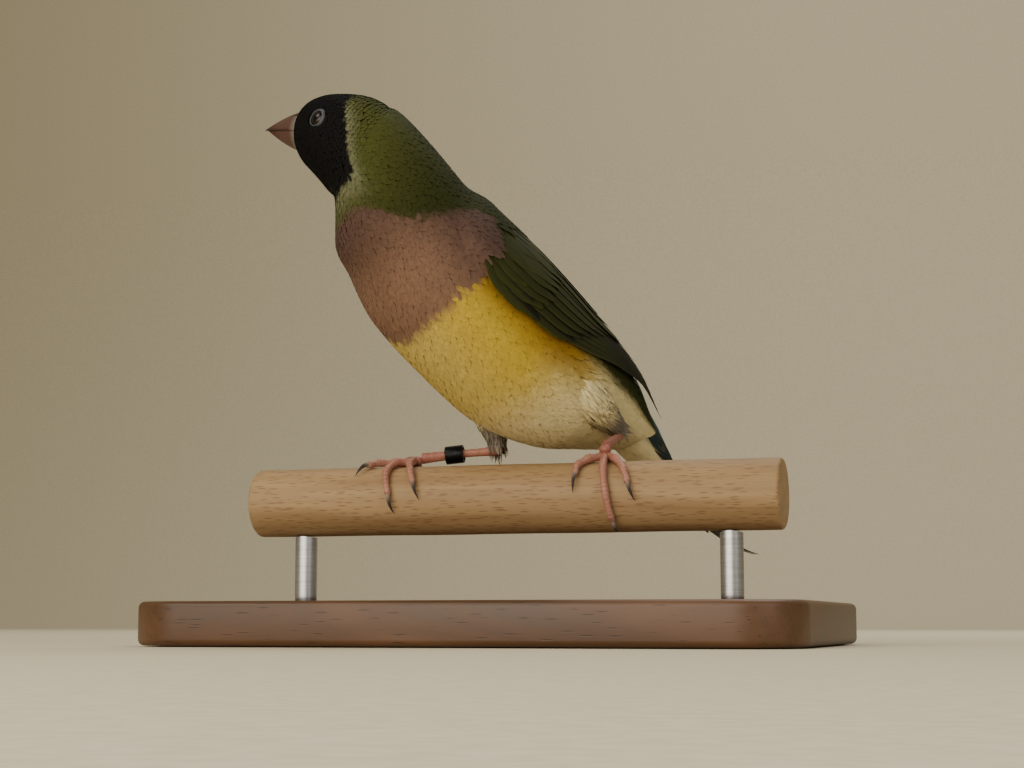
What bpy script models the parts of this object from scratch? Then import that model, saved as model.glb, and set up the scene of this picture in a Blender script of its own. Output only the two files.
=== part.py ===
# A perched gouldian finch, life size, on a short wooden perch and a plain stand.
# The flesh is one lofted form, cut into torso, neck and head. Units are metres, +Z is up,
# the perch lies along X and the origin is the middle of the base's underside.

import math
import random

import bmesh
import bpy
import numpy as np

MM = 0.001
GAP = 0.3 * MM

# Stand and perch
BASE_LENGTH = 124 * MM
BASE_DEPTH = 86 * MM
BASE_THICKNESS = 8 * MM
BASE_CORNER = 12 * MM
BASE_BEVEL = 1.2 * MM
ROD_RADIUS = 2.2 * MM
ROD_OFFSET = 43 * MM
PERCH_RADIUS = 6.8 * MM
PERCH_LENGTH = 106 * MM
PERCH_BEVEL = 0.7 * MM
PERCH_HEIGHT = 28 * MM

# Pose: angles in degrees, places in millimetres from the perch's axis, as (forward, up)
HEADING = 229.6
ALONG_PERCH = -0.6 * MM
TORSO_PITCH = 37.0
TORSO_CENTRE = (9.6, 38.6)
HEAD_PITCH = 12.0
HEAD_TURN = 59.0
HEAD_CENTRE = (39.2, 69.4)
TURN_BEHIND_EYE = 6.0

# Body stations in millimetres, from the root of the tail to the bill:
# back point (x, z), belly point (x, z), half width, share of the head's turn
TORSO_STATIONS = (
    (-45, 9.8, -45, -0.8, 6.0, 0),
    (-38, 12.8, -38, -6.5, 8.9, 0),
    (-30, 14.2, -30, -12.4, 12.0, 0),
    (-18, 14.6, -18, -16.7, 14.9, 0),
    (-3, 15.0, -3, -16.9, 16.2, 0),
    (11, 14.7, 10, -15.8, 15.8, 0),
    (22, 15.8, 20, -13.0, 14.0, 0.10),
    (33, 16.9, 27, -10.9, 12.4, 0.40),
)
HEAD_STATIONS = (
    (-10.5, 5.3, -5.0, -14.4, 9.9, 0.82),
    (-4.5, 7.0, -2.4, -12.0, 8.7, 1),
    (1, 6.8, 1.2, -9.4, 7.4, 1),
    (4.8, 5.5, 4.2, -7.4, 5.9, 1),
    (6.9, 3.6, 6.0, -5.4, 4.3, 1),
)
BODY_SIDES = 24
TORSO_RINGS = 20
NECK_RINGS = 7
HEAD_RINGS = 13
TORSO_END = 6.1
NECK_END = 8.0
# How much narrower the sides are above the middle than below it
SIDE_LEAN = 0.05
SHARP_EDGE = math.radians(40)

# Head details in millimetres, in the head's own axes
EYE_PLACE = (-0.5, 6.7, 0.7)
EYE_LOOKS = (0.35, 1.0, 0.12)
EYE_RADIUS = 2.2
EYE_SHOWS = 1.5
EYE_STANDS_OUT = 0.5
LID_THICKNESS = 0.34
LID_GAP = 0.1
LID_STANDS_OUT = 0.25
LID_STEPS = 16
LID_SIDES = 6
BILL_MOUTH = -1.3
BILL_LENGTH = 9.2
BILL_DROP = 0.5
BILL_UPPER_DEPTH = 4.3
BILL_LOWER_DEPTH = 3.5
BILL_HALF_WIDTH = 3.7
BILL_TIP = 0.015
BILL_RINGS = 9
BILL_ARC = 10
NOSTRIL_RADIUS = 0.45
NOSTRIL_PLACE = (1.2, 2.1, 3.35)

# Wings, as angles round the body from the middle of the back, in degrees
WING_STATIONS = (
    (18, 56, 76, 0.3),
    (11, 32, 96, 0.6),
    (0, 20, 101, 0.8),
    (-12, 15, 96, 0.8),
    (-23, 16, 86, 0.7),
    (-32, 24, 74, 0.5),
    (-39, 30, 62, 0.3),
    (-55, 26, 48, 0.3),
)
WING_CORE_END = -20.0
WING_CORE_TAPER = 14.0
WING_RINGS = 10
WING_SIDES = 7
WING_TIP_LIFT = 1.0
WING_TIP_START = -20.0
WING_TIP_RUN = 25.0
WING_LEAVES_BODY = -39.0
WING_TIP_DROOPS = 0.33
WING_TIP_CLOSES = 0.15
WING_CLEARANCE = 0.5
WING_CORE_SKIN = 0.4
WING_CORE_NARROWEST = 0.25

# Tiers of wing feathers, lowest first. root and tip: distance along the torso of the vane
# nearest the back and of the lowest vane. span: share of the wing's depth that the roots and
# the tips take. lift: height over the flank at root and tip. All lengths in millimetres.
WING_TIERS = (
    {"count": 6, "root": (-4, -9), "tip": (-30, -55), "root_span": (0.5, 0.96),
     "tip_span": (0.25, 0.62), "half_width": 1.7, "lift": (1.0, 0.75)},
    {"count": 5, "root": (-1, 2), "tip": (-26, -17), "root_span": (0.36, 0.92),
     "tip_span": (0.32, 0.9), "half_width": 2.6, "lift": (0.95, 1.0)},
    {"count": 3, "root": (-1, -1), "tip": (-22, -27), "root_span": (0.08, 0.34),
     "tip_span": (0.12, 0.4), "half_width": 3.0, "lift": (1.15, 1.4)},
    {"count": 6, "root": (5, 8), "tip": (-8, -4), "root_span": (0.1, 0.94),
     "tip_span": (0.08, 0.94), "half_width": 2.6, "lift": (1.15, 1.55), "covert": True},
    {"count": 5, "root": (10, 12), "tip": (0, 3), "root_span": (0.12, 0.9),
     "tip_span": (0.08, 0.92), "half_width": 2.7, "lift": (1.1, 1.75), "covert": True},
    {"count": 4, "root": (15, 15), "tip": (6, 9), "root_span": (0.2, 0.85),
     "tip_span": (0.1, 0.88), "half_width": 2.7, "lift": (0.9, 1.75), "covert": True},
)
VANE_THICKNESS = 0.55
VANE_TILT = 8.0
# Cross-sections of a vane: shares of its half width and of its thickness
FLIGHT_SECTION = ((-1, 0.4), (0, 0.62), (1, 0.4), (1, -0.4), (0, -0.38), (-1, -0.4))
COVERT_SECTION = ((-1, 0.45), (1, 0.45), (1, -0.45), (-1, -0.45))
# How a vane widens and rounds off: share of its length, share of its half width
VANE_OUTLINE = ((0, 0.55), (0.3, 0.92), (0.62, 1.0), (0.86, 0.8), (0.96, 0.5), (1.0, 0.16))
COVERT_OUTLINE = ((0, 0.55), (0.4, 0.95), (0.75, 0.95), (0.93, 0.6), (1.0, 0.18))

# Tail in millimetres, in the torso's axes
TAIL_ROOT = -45.0
TAIL_LENGTH = 31.3
PIN_LENGTH = 10.2
TAIL_COVERTS = 15.0
TAIL_RINGS = 8
TAIL_SIDES = 16
TAIL_ROOT_SIZES = (5.2, 6.6, 3.9)
TAIL_TAPER = 0.75
TAIL_COVERT_END = (1.5, 0.35)
TAIL_PAIRS = 6
TAIL_GRADE = 1.35
TAIL_HALF_WIDTH = 2.3
TAIL_SPREAD = 1.05
TAIL_LAYER = 0.4
PIN_OUTLINE = ((0, 0.5), (0.3, 0.95), (0.52, 1.0), (0.66, 0.7), (0.76, 0.26), (0.9, 0.16), (1.0, 0.1))
TAIL_HEIGHT = 3.6
TAIL_DROOP = 4.0
TAIL_MIDDLE_LAYER = 1.1
PIN_RISE = 4.2
TAIL_ROLL = 9.0

# Legs in millimetres: (along the perch, towards the back, above the perch's axis)
LEFT_LEG = {
    "thigh": ((9.0, -1.0, 25.0), (14.8, 3.4, 19.0), (18.8, 10.0, 14.2)),
    "shank": ((19.0, 10.8, 13.0), (19.0, 0.2, 9.9)),
}
RIGHT_LEG = {
    "thigh": ((-7.0, 8.0, 25.0), (-5.6, 6.0, 17.6), (-4.2, 3.8, 11.4)),
    "shank": ((-4.2, 3.6, 10.0), (-18.6, 1.6, 8.5)),
}
THIGH_RADII = (6.0, 4.6, 1.8)
SHANK_RADII = (1.15, 0.72, 0.8, 1.0)
TOE_RADIUS = 0.82
CLAW_LENGTH = 3.4
HUB_RADIUS = 1.15
HUB_SINK = 0.4
# Toes: points (along the perch, angle round it in degrees, 0 on top and 90 in front)
LEFT_TOES = (
    ((18.6, 6), (16.2, 22), (14.6, 40), (14.4, 58)),
    ((19.0, 6), (19.6, 44), (20.6, 88), (21.6, 132)),
    ((19.4, 6), (21.6, 26), (23.6, 50), (24.8, 74)),
    ((19.0, -8), (19.4, -34), (19.8, -66), (20.2, -92)),
)
RIGHT_TOES = (
    ((-20.4, 2), (-20.0, 24), (-19.0, 46), (-18.0, 66)),
    ((-20.8, 0), (-23.2, 14), (-24.0, 46), (-22.8, 86)),
    ((-20.8, -6), (-24.4, -8), (-27.2, 4), (-28.8, 24)),
    ((-20.6, -14), (-20.2, -42), (-19.8, -74), (-19.6, -100)),
)
RING_PLACE = 0.58
RING_LENGTH = 3.6
RING_WALL = 0.45

FORWARD = np.array([math.cos(math.radians(HEADING)), math.sin(math.radians(HEADING))])
LEFT = np.array([-FORWARD[1], FORWARD[0]])

MATERIALS = {
    "black_feathers": ((0.012, 0.012, 0.014), 0.6, 0.0),
    "green_feathers": ((0.10, 0.13, 0.035), 0.6, 0.0),
    "wing_feathers": ((0.055, 0.075, 0.025), 0.6, 0.0),
    "tail_feathers": ((0.02, 0.022, 0.022), 0.6, 0.0),
    "belly_feathers": ((0.62, 0.42, 0.09), 0.65, 0.0),
    "grey_feathers": ((0.25, 0.22, 0.17), 0.65, 0.0),
    "bill_horn": ((0.66, 0.36, 0.27), 0.35, 0.0),
    "eye_dark": ((0.01, 0.008, 0.007), 0.08, 0.0),
    "leg_skin": ((0.55, 0.24, 0.18), 0.45, 0.0),
    "ring_black": ((0.02, 0.02, 0.022), 0.35, 0.0),
    "perch_beech": ((0.50, 0.33, 0.19), 0.6, 0.0),
    "base_walnut": ((0.14, 0.075, 0.04), 0.4, 0.0),
    "rod_steel": ((0.56, 0.56, 0.57), 0.3, 1.0),
}


def clear_scene():
    for thing in list(bpy.data.objects):
        bpy.data.objects.remove(thing, do_unlink=True)


def material(name):
    found = bpy.data.materials.get(name)
    if found:
        return found
    colour, roughness, metallic = MATERIALS[name]
    made = bpy.data.materials.new(name)
    made.use_nodes = True
    shader = made.node_tree.nodes["Principled BSDF"]
    shader.inputs["Base Color"].default_value = (*colour, 1.0)
    shader.inputs["Roughness"].default_value = roughness
    shader.inputs["Metallic"].default_value = metallic
    return made


def add_object(name, points, faces, finish):
    """Put one mesh in the scene, facing outwards and shaded smooth."""
    mesh = bpy.data.meshes.new(name)
    mesh.from_pydata([tuple(map(float, p)) for p in points], [], [tuple(map(int, f)) for f in faces])
    work = bmesh.new()
    work.from_mesh(mesh)
    bmesh.ops.recalc_face_normals(work, faces=work.faces)
    if work.calc_volume(signed=True) < 0:
        bmesh.ops.reverse_faces(work, faces=work.faces)
    work.to_mesh(mesh)
    work.free()
    mesh.shade_smooth()
    mesh.set_sharp_from_angle(angle=SHARP_EDGE)
    thing = bpy.data.objects.new(name, mesh)
    thing.data.materials.append(material(finish))
    bpy.context.collection.objects.link(thing)
    return thing


def evaluated_copy(thing, name, finish):
    """Make a plain object from what a thing's modifiers give, and remove the thing."""
    shown = thing.evaluated_get(bpy.context.evaluated_depsgraph_get())
    work = bmesh.new()
    work.from_mesh(shown.to_mesh())
    shown.to_mesh_clear()
    bpy.data.objects.remove(thing, do_unlink=True)
    bmesh.ops.triangulate(work, faces=work.faces)
    keep_largest_surface(work)
    mesh = bpy.data.meshes.new(name)
    work.to_mesh(mesh)
    work.free()
    mesh.shade_smooth()
    mesh.set_sharp_from_angle(angle=SHARP_EDGE)
    made = bpy.data.objects.new(name, mesh)
    made.data.materials.clear()
    made.data.materials.append(material(finish))
    bpy.context.collection.objects.link(made)
    return made


def keep_largest_surface(work):
    """Drop every surface but the one that encloses most; surfaces only touch at their edges."""
    work.faces.ensure_lookup_table()
    seen = set()
    islands = []
    for start in work.faces:
        if start in seen:
            continue
        island = [start]
        seen.add(start)
        for face in island:
            for edge in face.edges:
                if len(edge.link_faces) != 2:
                    continue
                for other in edge.link_faces:
                    if other not in seen:
                        seen.add(other)
                        island.append(other)
        islands.append(island)

    def enclosed(island):
        total = 0.0
        for face in island:
            first = face.verts[0].co
            for a, b in zip(face.verts[1:-1], face.verts[2:]):
                total += first.dot(a.co.cross(b.co))
        return total

    islands.sort(key=enclosed, reverse=True)
    loose = [face for island in islands[1:] for face in island]
    bmesh.ops.delete(work, geom=loose, context="FACES")


def combine(name, base, others, operation, finish):
    """Join or cut the base by a collection of closed meshes, and keep one surface."""
    group = bpy.data.collections.new(name + "_pieces")
    bpy.context.scene.collection.children.link(group)
    for other in others:
        group.objects.link(other)
    step = base.modifiers.new("combine", "BOOLEAN")
    step.operation = operation
    step.operand_type = "COLLECTION"
    step.collection = group
    step.solver = "MANIFOLD"
    made = evaluated_copy(base, name, finish)
    for other in others:
        bpy.data.objects.remove(other, do_unlink=True)
    bpy.data.collections.remove(group)
    return made


def smooth(rows, places):
    """Catmull-Rom values of the rows at fractional row numbers."""
    rows = np.asarray(rows, float)
    padded = np.vstack([2 * rows[0] - rows[1], rows, 2 * rows[-1] - rows[-2]])
    places = np.atleast_1d(np.asarray(places, float))
    whole = np.clip(places.astype(int), 0, len(rows) - 2)
    part = (places - whole)[:, None]
    a, b, c, d = (padded[whole + k] for k in range(4))
    cubic = (3 * b - a - 3 * c + d) * part ** 3
    return 0.5 * (2 * b + (c - a) * part + (2 * a - 5 * b + 4 * c - d) * part ** 2 + cubic)


def turned(x, z, degrees, centre):
    angle = math.radians(degrees)
    s = x * math.cos(angle) - z * math.sin(angle) + centre[0]
    up = x * math.sin(angle) + z * math.cos(angle) + centre[1]
    return s, up


def bird_to_world(s, left, up):
    """Millimetres forward, left and up from the perch's axis, as world metres."""
    x = ALONG_PERCH + (FORWARD[0] * s + LEFT[0] * left) * MM
    y = (FORWARD[1] * s + LEFT[1] * left) * MM
    return np.stack([x, y, PERCH_HEIGHT + up * MM], -1)


def turn_head(s, left, share):
    """Turn points to the bird's right about the upright line through the neck."""
    axis = HEAD_CENTRE[0] - TURN_BEHIND_EYE
    angle = -np.radians(HEAD_TURN) * share
    ahead = s - axis
    return axis + ahead * np.cos(angle) - left * np.sin(angle), ahead * np.sin(angle) + left * np.cos(angle)


def body_stations():
    rows = []
    for x, z, low_x, low_z, half, share in TORSO_STATIONS:
        back = turned(x, z, TORSO_PITCH, TORSO_CENTRE)
        belly = turned(low_x, low_z, TORSO_PITCH, TORSO_CENTRE)
        rows.append((*back, *belly, half, share))
    for x, z, low_x, low_z, half, share in HEAD_STATIONS:
        back = turned(x, z, HEAD_PITCH, HEAD_CENTRE)
        belly = turned(low_x, low_z, HEAD_PITCH, HEAD_CENTRE)
        rows.append((*back, *belly, half, share))
    return np.array(rows)


STATIONS = body_stations()


def body_surface(places, angles, grow=0.0):
    """Points of the loft: place is a fractional station, angle 0 the back and 90 the left."""
    rows = smooth(STATIONS, places)
    middle = (rows[:, 0:2] + rows[:, 2:4]) / 2
    half = (rows[:, 0:2] - rows[:, 2:4]) / 2
    size = np.linalg.norm(half, axis=1)
    half = half * ((size + grow) / size)[:, None]
    angles = np.radians(np.asarray(angles, float))
    s = middle[:, 0] + half[:, 0] * np.cos(angles)
    up = middle[:, 1] + half[:, 1] * np.cos(angles)
    left = (rows[:, 4] + grow) * np.sin(angles) * (1 - SIDE_LEAN * np.cos(angles))
    s, left = turn_head(s, left, np.clip(rows[:, 5], 0, 1))
    return bird_to_world(s, left, up)


def body_rings(first, last, count, grow=0.0, cut_first=0.0, cut_last=0.0):
    """Rings of the loft between two stations, the end rings moved inwards by the cuts."""
    around = np.arange(BODY_SIDES) * 360 / BODY_SIDES
    rings = []
    for place in np.linspace(first, last, count):
        rings.append(body_surface(np.full(BODY_SIDES, place), around, grow))
    rings = np.array(rings)
    for end, cut in ((0, cut_first), (-1, cut_last)):
        back, left, belly = (rings[end][BODY_SIDES * k // 4] for k in range(3))
        normal = np.cross(back - belly, left - belly)
        normal /= np.linalg.norm(normal)
        inward = rings[1 if end == 0 else -2].mean(axis=0) - rings[end].mean(axis=0)
        normal *= math.copysign(1.0, float(normal @ inward))
        rings[end] = rings[end] + normal * cut
    return rings


def ring_faces(count, sides):
    faces = []
    for i in range(count - 1):
        for j in range(sides):
            k = (j + 1) % sides
            faces.append((i * sides + j, i * sides + k, (i + 1) * sides + k, (i + 1) * sides + j))
    faces.append(tuple(range(sides)))
    faces.append(tuple(range((count - 1) * sides, count * sides)))
    return faces


def loft(name, rings, finish):
    count, sides = rings.shape[:2]
    return add_object(name, rings.reshape(-1, 3), ring_faces(count, sides), finish)


def tube_rings(path, radii, sides, up=(0.0, 0.0, 1.0)):
    """Rings of a round tube along a path, kept square to it."""
    path = np.asarray(path, float)
    along = np.gradient(path, axis=0)
    along /= np.linalg.norm(along, axis=1)[:, None]
    side = np.cross(along, np.asarray(up, float))
    side /= np.linalg.norm(side, axis=1)[:, None]
    over = np.cross(side, along)
    turn = np.arange(sides) * 2 * math.pi / sides
    radii = np.asarray(radii, float)[:, None, None]
    ring = side[:, None] * np.cos(turn)[None, :, None] + over[:, None] * np.sin(turn)[None, :, None]
    return path[:, None] + radii * ring


def ball(name, centre, radius, finish, rings, sides):
    mesh = bpy.data.meshes.new(name)
    work = bmesh.new()
    bmesh.ops.create_uvsphere(work, u_segments=sides, v_segments=rings, radius=radius)
    bmesh.ops.translate(work, verts=work.verts, vec=[float(value) for value in centre])
    work.to_mesh(mesh)
    work.free()
    mesh.shade_smooth()
    thing = bpy.data.objects.new(name, mesh)
    thing.data.materials.append(material(finish))
    bpy.context.collection.objects.link(thing)
    return thing


def torso_to_world(x, left, z):
    s, up = turned(np.asarray(x, float), np.asarray(z, float), TORSO_PITCH, TORSO_CENTRE)
    return bird_to_world(s, np.asarray(left, float) + 0 * s, up)


def head_to_world(x, left, z):
    s, up = turned(np.asarray(x, float), np.asarray(z, float), HEAD_PITCH, HEAD_CENTRE)
    s, left = turn_head(s, np.asarray(left, float) + 0 * s, 1.0)
    return bird_to_world(s, left, up)


def station_at(x):
    """The fractional station whose middle lies at a distance along the torso."""
    middles = [(row[0] + row[2]) / 2 for row in TORSO_STATIONS]
    return np.interp(x, middles, range(len(middles)))


def make_flesh():
    torso = loft("torso", body_rings(0, TORSO_END, TORSO_RINGS, cut_last=GAP / 2), "belly_feathers")
    neck_rings = body_rings(TORSO_END, NECK_END, NECK_RINGS, cut_first=GAP / 2, cut_last=GAP / 2)
    neck = loft("neck", neck_rings, "green_feathers")
    last = len(STATIONS) - 1
    head = loft("head_form", body_rings(NECK_END, last, HEAD_RINGS, cut_first=GAP / 2), "black_feathers")
    return torso, neck, head


def eye_frame(side):
    """World place of an eye and the direction it looks in."""
    x, left, z = EYE_PLACE
    ahead, out, over = EYE_LOOKS
    centre = head_to_world(x, side * left, z)
    outward = head_to_world(x + ahead, side * (left + out), z + over) - centre
    return centre, outward / np.linalg.norm(outward)


def make_eyes_and_lids(head):
    """Sink the eyes in sockets and raise a lid round each."""
    lids = []
    sockets = []
    depth = math.sqrt(EYE_RADIUS ** 2 - EYE_SHOWS ** 2)
    for side, word in ((1, "left"), (-1, "right")):
        rim, outward = eye_frame(side)
        centre = rim - outward * (depth - EYE_STANDS_OUT) * MM
        ball("eye_" + word, centre, EYE_RADIUS * MM, "eye_dark", 9, 14)
        sockets.append(ball("socket", centre, EYE_RADIUS * MM + GAP, "eye_dark", 10, 18))
        first = np.cross(outward, (0, 0, 1))
        first /= np.linalg.norm(first)
        second = np.cross(first, outward)
        path_radius = (EYE_SHOWS + LID_THICKNESS + LID_GAP) * MM
        round_rim = rim + outward * LID_STANDS_OUT * MM
        points = []
        for angle in np.linspace(0, 2 * math.pi, LID_STEPS, endpoint=False):
            spoke = first * math.cos(angle) + second * math.sin(angle)
            for tilt in np.linspace(0, 2 * math.pi, LID_SIDES, endpoint=False):
                reach = path_radius + LID_THICKNESS * MM * math.cos(tilt)
                points.append(round_rim + spoke * reach + outward * LID_THICKNESS * MM * math.sin(tilt))
        faces = []
        for i in range(LID_STEPS):
            here, after = i * LID_SIDES, (i + 1) % LID_STEPS * LID_SIDES
            for j in range(LID_SIDES):
                k = (j + 1) % LID_SIDES
                faces.append((here + j, here + k, after + k, after + j))
        lids.append(add_object("lid", points, faces, "grey_feathers"))
    head = combine("head_with_lids", head, lids, "UNION", "black_feathers")
    return combine("head", head, sockets, "DIFFERENCE", "black_feathers")


def bill_half(name, sign, depth, width, length):
    """One mandible: half-oval sections that shrink along a curve to the tip."""
    top_x, top_z, low_x, low_z = HEAD_STATIONS[-1][:4]
    lean = (top_x - low_x) / (top_z - low_z)
    drop = math.tan(math.radians(BILL_DROP))
    points = []
    for step in np.linspace(0, 1, BILL_RINGS):
        taper = 1 - step ** 1.45 * (1 - BILL_TIP)
        mouth = BILL_MOUTH - drop * length * step + sign * GAP / MM / 2
        for angle in np.linspace(0, math.pi, BILL_ARC):
            left = width * (1 - step ** 1.25 * (1 - BILL_TIP)) * math.cos(angle)
            z = mouth + sign * depth * taper * math.sin(angle)
            face = low_x + lean * (z - low_z) * (1 - step) + lean * (BILL_MOUTH - low_z) * step
            points.append(head_to_world(face + GAP / MM * 1.1 + length * step, left, z))
    return loft(name, np.array(points).reshape(BILL_RINGS, BILL_ARC, 3), "bill_horn")


def make_bill():
    upper = bill_half("bill_upper_form", 1, BILL_UPPER_DEPTH, BILL_HALF_WIDTH, BILL_LENGTH)
    bill_half("bill_lower", -1, BILL_LOWER_DEPTH, BILL_HALF_WIDTH * 0.94, BILL_LENGTH * 0.93)
    nostrils = []
    for side in (1, -1):
        ahead, out, over = NOSTRIL_PLACE
        place = head_to_world(HEAD_STATIONS[-1][0] + ahead, side * out, BILL_MOUTH + over)
        nostrils.append(ball("nostril", place, NOSTRIL_RADIUS * MM, "bill_horn", 6, 8))
    combine("bill_upper", upper, nostrils, "DIFFERENCE", "bill_horn")


def flank(x, angle, side, lift):
    """A point over the torso's side: x along it, angle from the back, lifted off it."""
    near = max(float(x), WING_LEAVES_BODY)
    tip = max(0.0, (WING_TIP_START - near) / WING_TIP_RUN)
    place = body_surface([station_at(near)], [side * angle], lift + WING_TIP_LIFT * tip)[0]
    beyond = near - float(x)
    over = torso_to_world(-beyond, -side * beyond * WING_TIP_CLOSES, -beyond * WING_TIP_DROOPS)
    return place + over - torso_to_world(0.0, 0.0, 0.0)


def wing_edges(x):
    """Angles of the folded wing's upper and lower edge at a distance along the torso."""
    rows = sorted((row[0], row[1], row[2]) for row in WING_STATIONS)
    places, tops, lows = zip(*rows)
    return np.interp(x, places, tops), np.interp(x, places, lows)


def vane(section, middles, sides, normals, half_widths, finish):
    """A thin tapered plate along a path, its two faces split into like triangles."""
    points = []
    for middle, side, normal, half in zip(middles, sides, normals, half_widths):
        for across, over in section:
            points.append(middle + side * half * across + normal * VANE_THICKNESS * MM * over)
    count = len(section)
    faces = []
    for i in range(len(middles) - 1):
        here, after = i * count, (i + 1) * count
        for j in range(count):
            k = (j + 1) % count
            if count // 2 <= j < count - 1:
                faces += [(here + j, here + k, after + j), (here + k, after + k, after + j)]
            else:
                faces += [(here + j, here + k, after + k), (here + j, after + k, after + j)]
    for first in (0, (len(middles) - 1) * count):
        for j in range(count // 2 - 1):
            top, low = first + j, first + count - 1 - j
            faces += [(top, top + 1, low), (top + 1, low - 1, low)]
    return add_object("vane", points, faces, finish)


def wing_vane(tier, number, side, seed):
    """One feather of a tier, laid on the flank and tilted so that its lower edge stands up."""
    share = number / max(1, tier["count"] - 1)
    wobble = seed.uniform(-0.4, 0.4)
    start = tier["root"][0] + (tier["root"][1] - tier["root"][0]) * share
    end = tier["tip"][0] + (tier["tip"][1] - tier["tip"][0]) * share + wobble
    ends = []
    for x, span in ((start, tier["root_span"]), (end, tier["tip_span"])):
        top, low = wing_edges(x)
        ends.append(top + (low - top) * (span[0] + (span[1] - span[0]) * share))
    section, outline = FLIGHT_SECTION, VANE_OUTLINE
    if tier.get("covert"):
        section, outline = COVERT_SECTION, COVERT_OUTLINE
    middles = []
    for part, _ in outline:
        x = start + (end - start) * part
        angle = ends[0] + (ends[1] - ends[0]) * part
        lift = tier["lift"][0] + (tier["lift"][1] - tier["lift"][0]) * part
        middles.append((flank(x, angle, side, lift), flank(x, angle, side, lift + 1)))
    path = np.array([low for low, _ in middles])
    normals = np.array([high - low for low, high in middles])
    normals /= np.linalg.norm(normals, axis=1)[:, None]
    along = np.gradient(path, axis=0)
    sides = np.cross(along, normals) * -side
    sides /= np.linalg.norm(sides, axis=1)[:, None]
    tilt = math.radians(VANE_TILT)
    leaning = sides * math.cos(tilt) + normals * math.sin(tilt)
    upright = normals * math.cos(tilt) - sides * math.sin(tilt)
    half_widths = [tier["half_width"] * MM * wide for _, wide in outline]
    return vane(section, path, leaning, upright, half_widths, "wing_feathers")


def make_wing(side, word):
    """A folded wing: a smooth core, and tiers of overlapping vanes rooted in it."""
    seed = random.Random(7 + side)
    rows = smooth(WING_STATIONS, np.linspace(0, len(WING_STATIONS) - 1, 60))
    rows = np.array([row for row in rows if row[0] > WING_CORE_END])
    rows = rows[np.linspace(0, len(rows) - 1, WING_RINGS).astype(int)]
    rings = []
    for x, top, low, thick in rows:
        narrow = min(1.0, (x - WING_CORE_END) / WING_CORE_TAPER) ** 0.5
        low = top + (low - top) * (WING_CORE_NARROWEST + (1 - WING_CORE_NARROWEST) * narrow)
        spread = np.linspace(top, low, WING_SIDES)
        crown = np.sqrt(np.clip(1 - np.linspace(-1, 1, WING_SIDES) ** 2, 0, 1)) * narrow
        inner = [flank(x, angle, side, WING_CLEARANCE) for angle in spread]
        over = WING_CLEARANCE + WING_CORE_SKIN
        outer = [flank(x, angle, side, over + thick * k) for angle, k in zip(spread, crown)]
        rings.append(inner + outer[::-1])
    core = loft("wing_core", np.array(rings), "wing_feathers")
    vanes = []
    for tier in WING_TIERS:
        for number in range(tier["count"]):
            vanes.append(wing_vane(tier, number, side, seed))
    combine("wing_" + word, core, vanes, "UNION", "wing_feathers")


def tail_point(x, left, up):
    """A point of the tail: it droops towards its tip and is rolled about its length."""
    step = np.clip((TAIL_ROOT - np.asarray(x, float)) / (TAIL_LENGTH + PIN_LENGTH), 0, 1)
    roll = np.radians(TAIL_ROLL) * np.clip(step * 3, 0, 1)
    across = left * np.cos(roll) - up * np.sin(roll)
    rise = PIN_RISE * np.clip(step * 3 - 2, 0, 1) ** 2 - TAIL_DROOP * step
    height = left * np.sin(roll) + up * np.cos(roll) + TAIL_HEIGHT + rise
    return torso_to_world(x, across, height)


def tail_vane(pair, side, seed):
    """One tail feather: the middle pair on top and longest, with pins, the rest graded."""
    length = TAIL_LENGTH - TAIL_GRADE * pair + seed.uniform(-0.3, 0.3)
    outline = VANE_OUTLINE
    if pair == 0:
        length = TAIL_LENGTH + PIN_LENGTH
        outline = PIN_OUTLINE
    path = []
    over = []
    for part, _ in outline:
        x = TAIL_ROOT - 2.0 - (length - 2.0) * part
        left = side * (0.5 + (TAIL_SPREAD * pair + 0.35) * (0.45 + 0.55 * part))
        if pair == 0:
            left = side * (0.85 - 0.35 * part)
        up = (TAIL_MIDDLE_LAYER - TAIL_LAYER * pair) * (0.8 + 0.2 * part) - side * 0.08
        path.append(tail_point(x, left, up))
        over.append(tail_point(x, left, up + 1))
    path = np.array(path)
    normals = np.array(over) - path
    normals /= np.linalg.norm(normals, axis=1)[:, None]
    sides = np.cross(np.gradient(path, axis=0), normals) * -side
    sides /= np.linalg.norm(sides, axis=1)[:, None]
    tilt = math.radians(VANE_TILT if pair else 3.0)
    leaning = sides * math.cos(tilt) - normals * math.sin(tilt)
    upright = normals * math.cos(tilt) + sides * math.sin(tilt)
    half_widths = [TAIL_HALF_WIDTH * MM * wide for _, wide in outline]
    return vane(FLIGHT_SECTION, path, leaning, upright, half_widths, "tail_feathers")


def make_tail():
    """The tail coverts as one smooth form, and twelve overlapping feathers rooted in it."""
    seed = random.Random(21)
    rings = []
    half_width, over, under = TAIL_ROOT_SIZES
    narrowing, end_thickness = TAIL_COVERT_END
    turn = np.linspace(0, 2 * math.pi, TAIL_SIDES, endpoint=False)
    for step in np.linspace(0, 1, TAIL_RINGS):
        x = TAIL_ROOT - GAP / MM - TAIL_COVERTS * step
        half = half_width - narrowing * step ** 1.5
        reach = np.where(np.cos(turn) > 0, over, under)
        thick = reach * (1 - step) ** TAIL_TAPER + end_thickness
        rings.append(tail_point(x + 0 * turn, half * np.sin(turn), thick * np.cos(turn)))
    core = loft("tail_core", np.array(rings), "tail_feathers")
    vanes = []
    for pair in range(TAIL_PAIRS):
        for side in (1, -1):
            vanes.append(tail_vane(pair, side, seed))
    combine("tail", core, vanes, "UNION", "tail_feathers")


def leg_point(place):
    return np.array([place[0] * MM, place[1] * MM, PERCH_HEIGHT + place[2] * MM])


def toe_point(along, degrees, out):
    angle = math.radians(degrees)
    reach = PERCH_RADIUS + GAP + out * MM
    return np.array([along * MM, -reach * math.sin(angle), PERCH_HEIGHT + reach * math.cos(angle)])


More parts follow.
